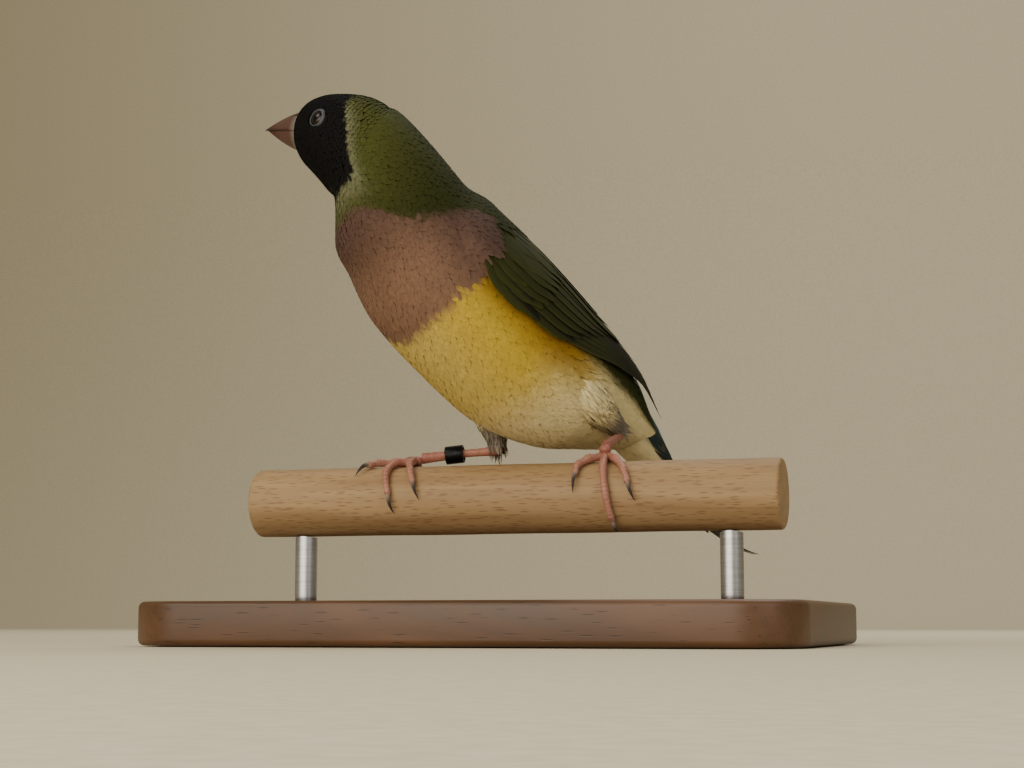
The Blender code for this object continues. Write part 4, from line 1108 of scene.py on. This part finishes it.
# Bill: smooth dry keratin, a soft gloss with faint growth lines along it
def hornMaterial(name, roughness, stretchBy):
    made, tree, shader = newMaterial(name, Roughness=roughness, Specular_IOR_Level=0.2,
                                     Subsurface_Weight=0.06, Subsurface_Scale=1.0,
                                     Subsurface_Radius=(0.0008, 0.0004, 0.0003))
    where = addNode(tree, "ShaderNodeUVMap", uv_map="along").outputs["UV"]
    flat = addNode(tree, "ShaderNodeMapping", {"Vector": where, "Scale": (stretchBy, 26.0, 1.0)})
    # growth lines 0.8 mm long and 0.15 mm wide on the bill
    streaks = {"Vector": flat.outputs["Vector"], "Scale": 3.0, "Detail": 4.0}
    streaks = addNode(tree, "ShaderNodeTexNoise", streaks).outputs["Fac"]
    dress(tree, shader, mottled(tree, streaks, 0.78, 1.2), streaks, 0.05, 0.6)
    return made


def mandible(sign, depth, width, length, material, name):
    # half ovals that shrink along a curve to the tip: width and depth as 1 - step^p; the upper one
    # has a low ridge on top and a nostril on each side, and its edge laps over the lower one
    topX, topZ, lowX, lowZ = bird["head"][-1][:4]
    lean = (topX - lowX) / (topZ - lowZ)
    rows, arc, floor = 72, 49, 9
    step = np.linspace(0, 1, rows)[:, None]
    angle = np.linspace(0, np.pi, arc)[None, :]
    drop = math.tan(math.radians(bill["drop"]))
    mouth = bill["mouth"] - drop * length * step + bill["lap"][0 if sign > 0 else 1]
    taper, narrow = (1 - step ** bill[curve] * (1 - bill["tip"]) for curve in ("depthCurve", "widthCurve"))
    crown = 1 + bill["ridge"] * hill(angle - np.pi / 2, bill["ridgeWidth"]) * (sign > 0)
    left = width * narrow * np.cos(angle) * (1 - 0.05 * np.sin(angle * 2) ** 2)
    z = mouth + sign * depth * taper * np.sin(angle) ** bill["roundness"] * crown
    chord = np.linspace(-1, 1, floor + 2)[1:-1][None, :]
    hollow = sign * bill["hollow"] * (1 - chord ** 2) * narrow
    left = np.concatenate([left, width * narrow * chord], 1)
    z = np.concatenate([z, mouth + hollow], 1)
    face = lowX + lean * (z - lowZ) * (1 - step) + lean * (bill["mouth"] - lowZ) * step
    x = face + bill["start"] + length * step
    points = headPoint(x, left, z)
    outward = unit(headPoint(x, left * 1.05, z + 0.05 * (z - mouth)) - points)
    nostrilShade = 0 * z
    if sign > 0:
        forth, aside, above = bill["nostril"]
        for side in (1, -1):
            away = ((x - topX - forth) / 1.5) ** 2 + (left - side * aside) ** 2
            away = away + (z - bill["mouth"] - above) ** 2
            pit = np.exp(-away / bill["nostrilSize"] ** 2)
            points = points - outward * (pit * bill["nostrilDepth"])[..., None]
            nostrilShade = nostrilShade + pit
    band, pink, red, dark = (linear(bill[tint]) for tint in ("band", "pink", "red", "dark"))
    tint = mixed(band, pink, blend(0.04, 0.2, step + 0 * z))
    tint = mixed(tint, red, blend(0.45, 0.98, step + 0 * z) * 0.85)
    # painted shade: darker along the mouth line, in the crease where the mandibles meet
    edge = hill(z - mouth, 0.32) * blend(0.05, 0.25, step)
    top = hill(left, 0.5) * (z * sign > mouth * sign) * (0.55 if sign > 0 else 0.3)
    tint = mixed(tint, dark, np.clip(0.55 * edge + top * blend(0.02, 0.2, step), 0, 0.8))
    # painted shade: the nostril dents are darkened as the shadow inside the openings
    tint = mixed(tint, dark * 0.4, np.clip(nostrilShade * 1.3, 0, 1))
    across = np.linspace(0, 1, z.shape[1])[None, :] + 0 * step
    return makePiece(name, points * mm, tubeFaces(rows, z.shape[1]), material,
                     maps={"along": np.stack([step + 0 * z, across], -1)}, tint=tint, sharp=70)


def makeBill():
    horn = hornMaterial("bill_keratin", 0.42, 4.0)
    long, half = bill["length"], bill["half"]
    upper = mandible(1, bill["upper"], half, long, horn, "bill_upper_mandible")
    lower = mandible(-1, bill["lower"], half * bill["lowerHalf"], long * bill["lowerShare"], horn,
                     "bill_lower_mandible")
    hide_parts("bill_upper")
    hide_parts("bill_lower")
    print("bill made")


makeEyes()
makeBill()


# Legs and feet
legs = {
    "left": {"shank": ((19.0, 10.8, 13.0), (19.0, 0.2, 9.9)), "front": (0.0, -1.0, 0.3), "toes": (
        ((18.6, 6), (16.2, 22), (14.6, 40), (14.4, 58)), ((19, 6), (19.6, 44), (20.6, 88), (21.6, 132)),
        ((19.4, 6), (21.6, 26), (23.6, 50), (24.8, 74)), ((19, -8), (19.4, -34), (19.8, -66), (20.2, -92)))},
    "right": {"shank": ((-4.2, 3.6, 10.0), (-18.6, 1.6, 8.5)), "front": (0.0, -0.3, 1.0), "toes": (
        ((-20.4, 2), (-20, 24), (-19, 46), (-18, 66)), ((-20.8, 0), (-23.2, 14), (-24, 46), (-22.8, 86)),
        ((-20.8, -6), (-24.4, -8), (-27.2, 4), (-28.8, 24)),
        ((-20.6, -14), (-20.2, -42), (-19.8, -74), (-19.6, -100)))},
    "shankRadii": (1.15, 0.72, 0.8, 1.0), "toeRadius": 0.82, "claw": 3.4, "hub": 1.15, "hubSink": 0.4,
    "gap": 0.3,
    "scute": 0.95,           # length of one scale along the shank
    "toeScute": 0.7, "scuteDepth": 0.12, "toeScuteDepth": 0.09,
    "toeTaper": 0.22, "joints": 3, "jointSwell": 0.1, "toeEnd": 0.93,
    "clawRadius": 0.5, "clawArch": 0.75, "clawDrop": 0.38,
    "pink": "#9c6755", "red": "#86493b", "pale": "#a97d6a", "grooveShade": "#5c3226",
    "claws": "#3a3430", "clawBase": "#8a7a70",
}
for name in ("pink", "red", "pale", "grooveShade", "claws", "clawBase"):
    tone[name] = linear(legs[name])
legRing = {"place": 0.58, "length": 3.6, "wall": 0.45, "clearance": 0.35, "edge": 0.14,
           "stops": ((0.3, "#0a0a0b"), (0.75, "#1d1d20"))}


def tube(path, outward, radii, columns):
    # rings square to a path; angle 0 points along outward
    along = unit(np.gradient(path, axis=0))
    side = unit(np.cross(along, outward))
    over = np.cross(side, along)
    turn = circle(columns)[None, :, None]
    return path[:, None] + radii[..., None] * (over[:, None] * np.cos(turn) + side[:, None] * np.sin(turn))


def onPerch(along, degrees, out):
    # a point round the perch: millimetres along it, degrees from its top, millimetres off it
    reach = perchRadius + legs["gap"] * 0.4 + out
    turn = np.radians(degrees)
    return np.stack([along, -reach * np.sin(turn), perchAxis + reach * np.cos(turn)], -1)


def scutes(travel, size, turn, depth):
    # overlapping scales on the front half: each swells and steps down at its far edge
    part = (travel / size) % 1.0
    return depth * (part ** 2 * (1 - blend(0.86, 1.0, part))) * np.clip(0.35 + np.cos(turn), 0, 1)


def grooved(travel, size, turn, base):
    # painted shade: darker in the narrow step between two scales
    grooveShade = hill((travel / size) % 1.0 - 0.97, 0.07) * np.clip(0.5 + np.cos(turn), 0, 1)
    return mixed(base, tone["grooveShade"], 0.55 * grooveShade)


# Leg skin: dry overlapping scales with a dull gloss, pink where blood shows through
def legMaterial():
    made, tree, shader = newMaterial("scaled_leg_skin", Roughness=0.46, IOR=1.45, Subsurface_Weight=0.12,
                                     Subsurface_Radius=(0.0008, 0.0003, 0.0002), Subsurface_Scale=1.0)
    where = addNode(tree, "ShaderNodeTexCoord").outputs["Object"]
    # small scales of 0.4 mm between the scutes, and blushes of 1.4 mm
    cells = addNode(tree, "ShaderNodeTexVoronoi", {"Vector": where, "Scale": 2600.0})
    blotch = addNode(tree, "ShaderNodeTexNoise", {"Vector": where, "Scale": 700.0, "Detail": 3.0})
    colour = mottled(tree, blotch.outputs["Fac"], 0.75, 1.25)
    dress(tree, shader, colour, cells.outputs["Distance"], 0.05, 0.6)
    return made


def shankLine(word):
    # the heel, the ankle and the way from one to the other
    heel, ankle = (np.array(point) + (0, 0, perchAxis) for point in legs[word]["shank"])
    return heel, ankle, (ankle - heel) / np.linalg.norm(ankle - heel)


def makeLegs():
    # a scaled tube from inside the thigh to the ankle, with a bend at the heel
    skin, horn = legMaterial(), hornMaterial("claw_keratin", 0.35, 2.0)
    rows, columns = 140, 28
    step = np.linspace(0, 1, rows)
    turn = circle(columns)[None, :]
    for word in ("left", "right"):
        heel, ankle, along = shankLine(word)
        inside = np.array(thighs[word][1]) + (0, 0, perchAxis)
        start = heel + (inside - heel) * 0.3  # the heel bends into the thigh
        path = curveRows([start, heel + along * 0.3, (heel + ankle) / 2, ankle + along * 0.4], step * 3)
        travel = step[:, None] * np.linalg.norm(ankle - start)
        radii = curveRows([[0.8], *([radius] for radius in legs["shankRadii"])], step * 4)[:, :1]
        scales = scutes(travel, legs["scute"], turn, legs["scuteDepth"])
        radii = radii * (1 + 0.08 * np.cos(2 * turn)) + scales
        points = tube(path, np.array(legs[word]["front"]), radii, columns)
        redder = 0.7 * np.abs(2 * step - 1)[:, None] ** 3 + 0 * turn
        tint = grooved(travel, legs["scute"], turn, mixed(tone["pink"], tone["red"], redder))
        piece = makePiece("tarsus_" + word, points * mm, tubeFaces(rows, columns), skin, tint=tint)
        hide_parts("shank_" + word)
        makeFoot(word, ankle, along, skin, horn)
    print("legs made")


def makeToe(toe):
    # a tube round the perch whose radius swells at the joints, as 1 + swell cos(joints 2 pi share)
    rows, columns = 96, 20
    turn = circle(columns)[None, :]
    step = np.linspace(0, 1, rows)
    line = curveRows(toe, step * 3)
    swell = 1 + legs["jointSwell"] * np.cos(step * legs["joints"] * fullTurn)
    radius = legs["toeRadius"] * (1 - legs["toeTaper"] * step) * swell
    end = np.clip((step - legs["toeEnd"]) / 0.075, 0, 1)
    radius = radius * np.sqrt(np.clip(1 - end ** 2, 0.02, 1))  # a rounded end
    path = onPerch(line[:, 0], line[:, 1], radius)
    outward = onPerch(line[:, 0], line[:, 1], radius + 1) - path
    travel = step[:, None] * np.linalg.norm(np.diff(path, axis=0), axis=1).sum()
    scales = scutes(travel, legs["toeScute"], turn, legs["toeScuteDepth"])
    radii = radius[:, None] * (1 + 0.06 * np.cos(2 * turn)) + scales
    base = mixed(tone["pink"], tone["pale"], 0.5 * step[:, None] + 0 * turn)
    base = mixed(base, tone["red"], 0.35 * blend(0.25, 0.0, step)[:, None] + 0 * turn)
    return tube(path, outward, radii, columns), grooved(travel, legs["toeScute"], turn, base), line


def makeClaw(line):
    # the claw leaves the toe's end, arches and comes down to a point on the wood
    rows, columns = 40, 14
    share = np.linspace(0, 1, rows)
    along, degrees = line[-1] - line[-2]
    last = (line[-1] - line[-2]) / math.hypot(along, math.radians(degrees) * perchRadius)
    place = line[-1] + last * legs["claw"] * (share[:, None] * 1.1 - 0.1)
    arch = legs["clawArch"] * np.sin(np.pi * share ** 0.8) * (1 - 0.2 * share)
    out = legs["clawRadius"] + arch - legs["clawDrop"] * share
    path = onPerch(place[:, 0], place[:, 1], out)
    outward = onPerch(place[:, 0], place[:, 1], out + 1) - path
    radii = (legs["clawRadius"] * (1 - share ** 1.5) + 0.03)[:, None]
    radii = radii * (1 - 0.2 * np.abs(np.sin(circle(columns))))
    tint = mixed(tone["clawBase"], tone["claws"], blend(0.05, 0.45, share)[:, None] + 0 * radii)
    return tube(path, outward, radii, columns), tint


def makeFoot(word, ankle, along, skin, horn):
    toes, claws = [], []
    for toe in legs[word]["toes"]:
        points, tint, line = makeToe(toe)
        toes.append((points, tint))
        claws.append(makeClaw(line))
    # the ball of the foot, a squashed sphere that the toes leave
    centre = ankle + along * (legs["gap"] + legs["hub"]) - (0, 0, legs["hubSink"])
    polar = np.linspace(0.01, np.pi - 0.01, 24)[:, None, None]
    spin = circle(28)[None, :, None]
    ball = [np.cos(polar) + 0 * spin, np.sin(polar) * np.cos(spin), np.sin(polar) * np.sin(spin)]
    ball = centre + np.concatenate(ball, -1) * legs["hub"] * (1.05, 0.95, 0.85)
    toes.append((ball, np.ones_like(ball) * (tone["red"] + tone["pink"]) / 2))
    for name, group, material in (("toes_", toes, skin), ("claws_", claws, horn)):
        start, faces, ends, flat = 0, [], [], []
        for points, _ in group:
            rows, columns = points.shape[:2]
            quads, *caps = tubeFaces(rows, columns)
            faces.append(quads + start)
            ends += [cap + start for cap in caps]
            share = np.meshgrid(np.linspace(0, 1, rows), np.linspace(0, 1, columns), indexing="ij")
            flat.append(np.stack(share, -1).reshape(-1, 2))
            start += rows * columns
        points, tint = (np.concatenate([row[k].reshape(-1, 3) for row in group]) for k in (0, 1))
        piece = makePiece(name + word, points * mm, [np.concatenate(faces), *ends], material,
                          maps={"along": np.concatenate(flat)}, tint=tint)
        if group is toes:
            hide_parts("foot_" + word)


# Leg ring: black anodised aluminium, satin, with fine turning marks
def makeRing():
    # a rounded profile turned about the shank
    heel, ankle, along = shankLine("right")
    middle = heel + (ankle - heel) * legRing["place"]
    inner = max(legs["shankRadii"][1:]) + legRing["clearance"]
    outer, half, edge = inner + legRing["wall"], legRing["length"] / 2, legRing["edge"]
    eased = edge * 0.3
    outside = [(half - edge, outer), (half - eased, outer - eased), (half, outer - edge)]
    inside = [(half, inner + edge), (half - edge, inner)]
    ends = outside + inside
    profile = np.array([(-half + edge, outer), *ends, *((-x, r) for x, r in reversed(ends[1:]))])
    turn = circle(96)[:, None, None]
    side, over = spokes(along)
    points = middle + along * profile[None, :, :1]
    points = points + (side * np.cos(turn) + over * np.sin(turn)) * profile[None, :, 1:]
    made, tree, shader = newMaterial("black_anodised_aluminium", Roughness=0.38, Metallic=0.85)
    where = addNode(tree, "ShaderNodeTexCoord").outputs["Object"]
    # turning marks of 0.55 mm, coarser than real so that they show
    marks = addNode(tree, "ShaderNodeTexNoise", {"Vector": where, "Scale": 1800.0, "Detail": 4.0})
    marks = marks.outputs["Fac"]
    shade = addNode(tree, "ShaderNodeValToRGB", {"Fac": marks}, legRing["stops"])
    dress(tree, shader, shade.outputs["Color"], marks, 0.02, 0.5)
    piece = makePiece("leg_band", points * mm, [gridQuads(96, len(profile), True, True)], made, sharp=35)
    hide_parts("leg_ring")
    print("leg ring made")


makeLegs()
makeRing()


# Perch and stand
stand = {
    "perchBevel": 0.7, "corner": 12.0, "bevel": 1.2,
    "beech": {"roughness": 0.62, "stops": ((0.25, "#846641"), (0.5, "#967951"), (0.75, "#a6895f")),
              "fleck": 3.2,  # length of its brown flecks, 0.45 mm apart across the grain
              "across": 2200.0, "size": 0.38, "colour": "#6e4a2c",
              "lines": (22.0, 420.0, 420.0),  # growth lines 2.4 mm apart and 45 mm long
              "bend": 0.4, "relief": 0.03},
    "walnut": {"roughness": 0.42, "stops": ((0.2, "#33200f"), (0.45, "#4e3219"), (0.62, "#5f4026"),
                                            (0.85, "#775335")),
               "fleck": 20 / 3, "across": 1500.0, "size": 0.22, "colour": "#20130a",
               # its growth lines stand 8.4 mm apart across the base and are about 110 mm long
               "lines": (9.0, 1000 / 8.4, 60.0), "bend": 1.2, "relief": 0.04},
    "steel": ((0.3, "#9a9a9b"), (0.7, "#c3c3c4")),
}


def wood(name, grain):
    # colour runs along X: stretched noise for growth lines, and short dark flecks over it
    made, tree, shader = newMaterial(name, Roughness=grain["roughness"])
    where = addNode(tree, "ShaderNodeTexCoord").outputs["Object"]
    long = addNode(tree, "ShaderNodeMapping", {"Vector": where, "Scale": grain["lines"]})
    growth = {"Vector": long.outputs["Vector"], "Scale": 1.0, "Detail": 5.0, "Roughness": 0.6,
              "Distortion": grain["bend"]}
    growth = addNode(tree, "ShaderNodeTexNoise", growth).outputs["Fac"]
    base = addNode(tree, "ShaderNodeValToRGB", {"Fac": growth}, grain["stops"]).outputs["Color"]
    stretched = (1000 / grain["fleck"], grain["across"], grain["across"])
    short = addNode(tree, "ShaderNodeMapping", {"Vector": where, "Scale": stretched})
    cells = {"Vector": short.outputs["Vector"], "Scale": 1.0, "Randomness": 1.0}
    cells = addNode(tree, "ShaderNodeTexVoronoi", cells).outputs["Distance"]
    spot = {"Value": cells, "From Min": grain["size"], "From Max": grain["size"] * 0.55, "To Min": 0.0,
            "To Max": 0.6}
    spot = addNode(tree, "ShaderNodeMapRange", spot).outputs["Result"]
    flecked = {0: spot, 6: base, 7: paint(grain["colour"])}
    flecked = addNode(tree, "ShaderNodeMix", flecked, data_type="RGBA").outputs[2]
    height = addNode(tree, "ShaderNodeMath", {0: growth, 1: spot}, operation="SUBTRACT").outputs["Value"]
    rough = {"Value": growth, "To Min": grain["roughness"] - 0.1, "To Max": grain["roughness"] + 0.12}
    rough = addNode(tree, "ShaderNodeMapRange", rough).outputs["Result"]
    tree.links.new(rough, shader.inputs["Roughness"])
    dress(tree, shader, flecked, height, grain["relief"], 0.7)
    return made


def makePerch():
    # a turned dowel: the radius is the perch's, eased at both ends and uneven by hundredths
    half, bevel = (perchHigh[0] - perchLow[0]) / 2, stand["perchBevel"]
    long, around = 90, 96
    ease = np.linspace(0, np.pi / 2, 7)
    end, inset = half - bevel * (1 - np.cos(ease)), perchRadius - bevel * (1 - np.sin(ease))
    x = np.concatenate([-end, np.linspace(-half + bevel, half - bevel, long)[1:-1], end[::-1]])
    radius = np.concatenate([inset, np.full(long - 2, perchRadius), inset[::-1]])
    x, turn = x[:, None], circle(around)[None, :]
    wave = 0.03 * np.sin(x * 0.21 + 2 * np.sin(turn)) + 0.03 * np.sin(3 * turn + x * 0.05)
    r = radius[:, None] + wave - 0.05
    points = np.stack([x + 0 * turn, r * np.cos(turn), perchAxis + r * np.sin(turn)], -1)
    # sanded beech: warm pink-brown, matt, with the short brown flecks of its rays
    beech = wood("sanded_beech", stand["beech"])
    piece = makePiece("beech_dowel", points * mm, tubeFaces(len(x), around), beech, sharp=40)
    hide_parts("perch")
    print("perch made")


def makeBase():
    # a slab with round corners; its edge is a quarter round above and below, the faces rings inwards
    low, high = (np.array(corner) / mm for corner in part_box("stand_base"))
    halfX, halfY = (high[:2] - low[:2]) / 2
    corner, bevel = stand["corner"], stand["bevel"]
    outline, normals = [], []
    for quarter, (sx, sy) in enumerate(((1, 1), (-1, 1), (-1, -1), (1, -1))):
        spin = np.linspace(0, np.pi / 2, 13) + quarter * np.pi / 2
        normals.append(np.stack([np.cos(spin), np.sin(spin)], -1))
        outline.append(np.array((sx * (halfX - corner), sy * (halfY - corner))) + corner * normals[-1])
    outline, normals = np.concatenate(outline), np.concatenate(normals)
    ease = np.linspace(0, np.pi / 2, 6)
    inset = np.concatenate([bevel * (1 - np.sin(ease)), bevel * (1 - np.cos(ease))])
    height = np.concatenate([low[2] + bevel * (1 - np.cos(ease)), high[2] - bevel + bevel * np.sin(ease)])

    def level(flat, z):
        # a ring of the outline at one height
        return np.concatenate([flat, np.full((len(flat), 1), z)], 1)

    rings = [level(outline * share, low[2]) for share in (0.02, 0.5)]
    rings += [level(outline - normals * inwards, z) for inwards, z in zip(inset, height)]
    rings += [level(outline * share, high[2]) for share in (0.75, 0.5, 0.25, 0.02)]
    # oiled walnut: dark brown with wavy growth lines, satin
    walnut = wood("oiled_walnut", stand["walnut"])
    faces = tubeFaces(len(rings), len(outline))
    piece = makePiece("walnut_base", np.array(rings) * mm, faces, walnut, sharp=40)
    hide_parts("stand_base")
    print("base made")


def makeRods():
    # brushed stainless steel: fine rings round each rod stretch its highlights along it
    made, tree, shader = newMaterial("brushed_stainless_steel", Metallic=1.0, Roughness=0.3, Anisotropic=0.5)
    where = addNode(tree, "ShaderNodeTexCoord").outputs["Object"]
    # brush marks 0.11 mm apart along the rod and 6.7 mm long round it
    thin = addNode(tree, "ShaderNodeMapping", {"Vector": where, "Scale": (150.0, 150.0, 9000.0)})
    brushed = {"Vector": thin.outputs["Vector"], "Scale": 1.0, "Detail": 3.0}
    brushed = addNode(tree, "ShaderNodeTexNoise", brushed).outputs["Fac"]
    shade = addNode(tree, "ShaderNodeValToRGB", {"Fac": brushed}, stand["steel"])
    dress(tree, shader, shade.outputs["Color"], brushed, 0.01, 0.4)
    rows, columns = 24, 64
    turn = circle(columns)[None, :]
    share = np.linspace(0, 1, rows)[:, None]
    for word in ("left", "right"):
        low, high = (np.array(corner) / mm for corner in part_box("stand_rod_" + word))
        centre, radius = (low + high) / 2, (high[0] - low[0]) / 2

        def saddle(r):
            # how high the underside of the perch is over a circle of the rod
            return perchAxis - np.sqrt((perchRadius + legs["gap"]) ** 2 - (r * np.sin(turn)) ** 2)

        def rings(r, z):
            return np.stack([centre[0] + r * np.cos(turn), centre[1] + r * np.sin(turn), z], -1)

        r = radius * (1 - 0.06 * blend(0.05, 0.0, share))
        wall = rings(r, low[2] + (saddle(radius) - low[2]) * share)
        top = [rings(radius * part, saddle(radius * part)) for part in (0.97, 0.5, 0.02)]
        points = np.concatenate([wall, *top])
        piece = makePiece("steel_rod_" + word, points * mm, tubeFaces(len(points), columns), made, sharp=40)
        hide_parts("stand_rod_" + word)
    print("rods made")


makePerch()
makeBase()
makeRods()


# Studio: a pale sheet that curves up behind, soft lights, and the camera at the photo's angle
studio = {
    "paper": ((0.35, "#c6bca1"), (0.65, "#cfc5ab")), "width": 3.0, "front": -1.6, "back": 1.1,
    "curve": 0.5, "rise": 1.6, "below": 0.0002, "room": "#e3d9bd", "roomStrength": 0.42,
    "azimuth": 17.0, "distance": 0.37, "height": 0.004, "aim": (0.0, 0.0, 0.0505), "lens": 67.0,
    # name, place, aimed at, size, watts, colour
    "lights": (("key", (-0.42, -0.5, 0.62), "aim", 0.42, 2.3, "#fff4e6"),
               ("fill", (0.6, -0.42, 0.3), "aim", 0.5, 1.1, "#eef3ff"),
               ("low", (-0.28, -0.52, 0.03), "aim", 0.34, 1.1, "#fff2e0"),
               ("front", (-0.03, -0.6, 0.2), "aim", 0.45, 2.2, "#fff6ea"),
               ("top", (0.1, 0.35, 0.75), "aim", 0.5, 2.6, "#ffffff"),
               ("wall", (0.0, 0.5, 0.9), "wallAim", 0.8, 5.6, "#ffffff")),
    "wallAim": (0.0, 1.7, 0.25),
}


def stood(name, data, place, target):
    # a lamp or camera at its place, turned to its target
    made = bpy.data.objects.new(name, data)
    made.location = place
    made.rotation_euler = (Vector(target) - Vector(place)).to_track_quat("-Z", "Y").to_euler()
    bpy.context.collection.objects.link(made)
    return made


def makeStudio():
    # profile of the sheet: flat floor, a quarter round, then upright
    ease = np.linspace(0, np.pi / 2, 20)
    back, curve, strips = studio["back"], studio["curve"], 12
    y = [np.linspace(studio["front"], back, strips), back + curve * np.sin(ease), [back + curve]]
    z = [np.zeros(strips), curve * (1 - np.cos(ease)), [studio["rise"]]]
    y, z = np.concatenate(y)[:, None], np.concatenate(z)[:, None] - studio["below"]
    x = np.linspace(-studio["width"], studio["width"], strips)[None, :]
    points = np.stack([x + 0 * y, y + 0 * x, z + 0 * x], -1)
    mesh = bpy.data.meshes.new("paper")
    mesh.from_pydata(points.reshape(-1, 3).tolist(), [], gridQuads(len(y), strips).tolist())
    mesh.shade_smooth()
    # matt paper, faintly mottled every 2 mm so that it never looks flat
    made, tree, shader = newMaterial("matt_studio_paper", Roughness=0.95)
    where = addNode(tree, "ShaderNodeTexCoord").outputs["Object"]
    mottle = addNode(tree, "ShaderNodeTexNoise", {"Vector": where, "Scale": 500.0, "Detail": 3.0})
    shade = addNode(tree, "ShaderNodeValToRGB", {"Fac": mottle.outputs["Fac"]}, studio["paper"])
    tree.links.new(shade.outputs["Color"], shader.inputs["Base Color"])
    mesh.materials.append(made)
    sheet = bpy.data.objects.new("paper", mesh)
    bpy.context.collection.objects.link(sheet)
    for name, place, target, size, watts, colour in studio["lights"]:
        lamp = bpy.data.lights.new(name, "AREA")
        lamp.shape = "DISK"
        lamp.size = size
        lamp.energy = watts
        lamp.color = linear(colour)
        stood(name, lamp, place, studio[target]).visible_camera = False
    world = bpy.data.worlds.new("soft_room")
    world.use_nodes = True
    room = world.node_tree.nodes["Background"]
    room.inputs["Color"].default_value = paint(studio["room"])
    room.inputs["Strength"].default_value = studio["roomStrength"]
    bpy.context.scene.world = world
    camera = bpy.data.cameras.new("camera")
    camera.lens = studio["lens"]
    camera.clip_start, camera.clip_end = 0.01, 20
    turn, away = math.radians(studio["azimuth"]), studio["distance"]
    place = (away * math.sin(turn), -away * math.cos(turn), studio["height"])
    bpy.context.scene.camera = stood("camera", camera, place, studio["aim"])
    print("studio made")


makeStudio()
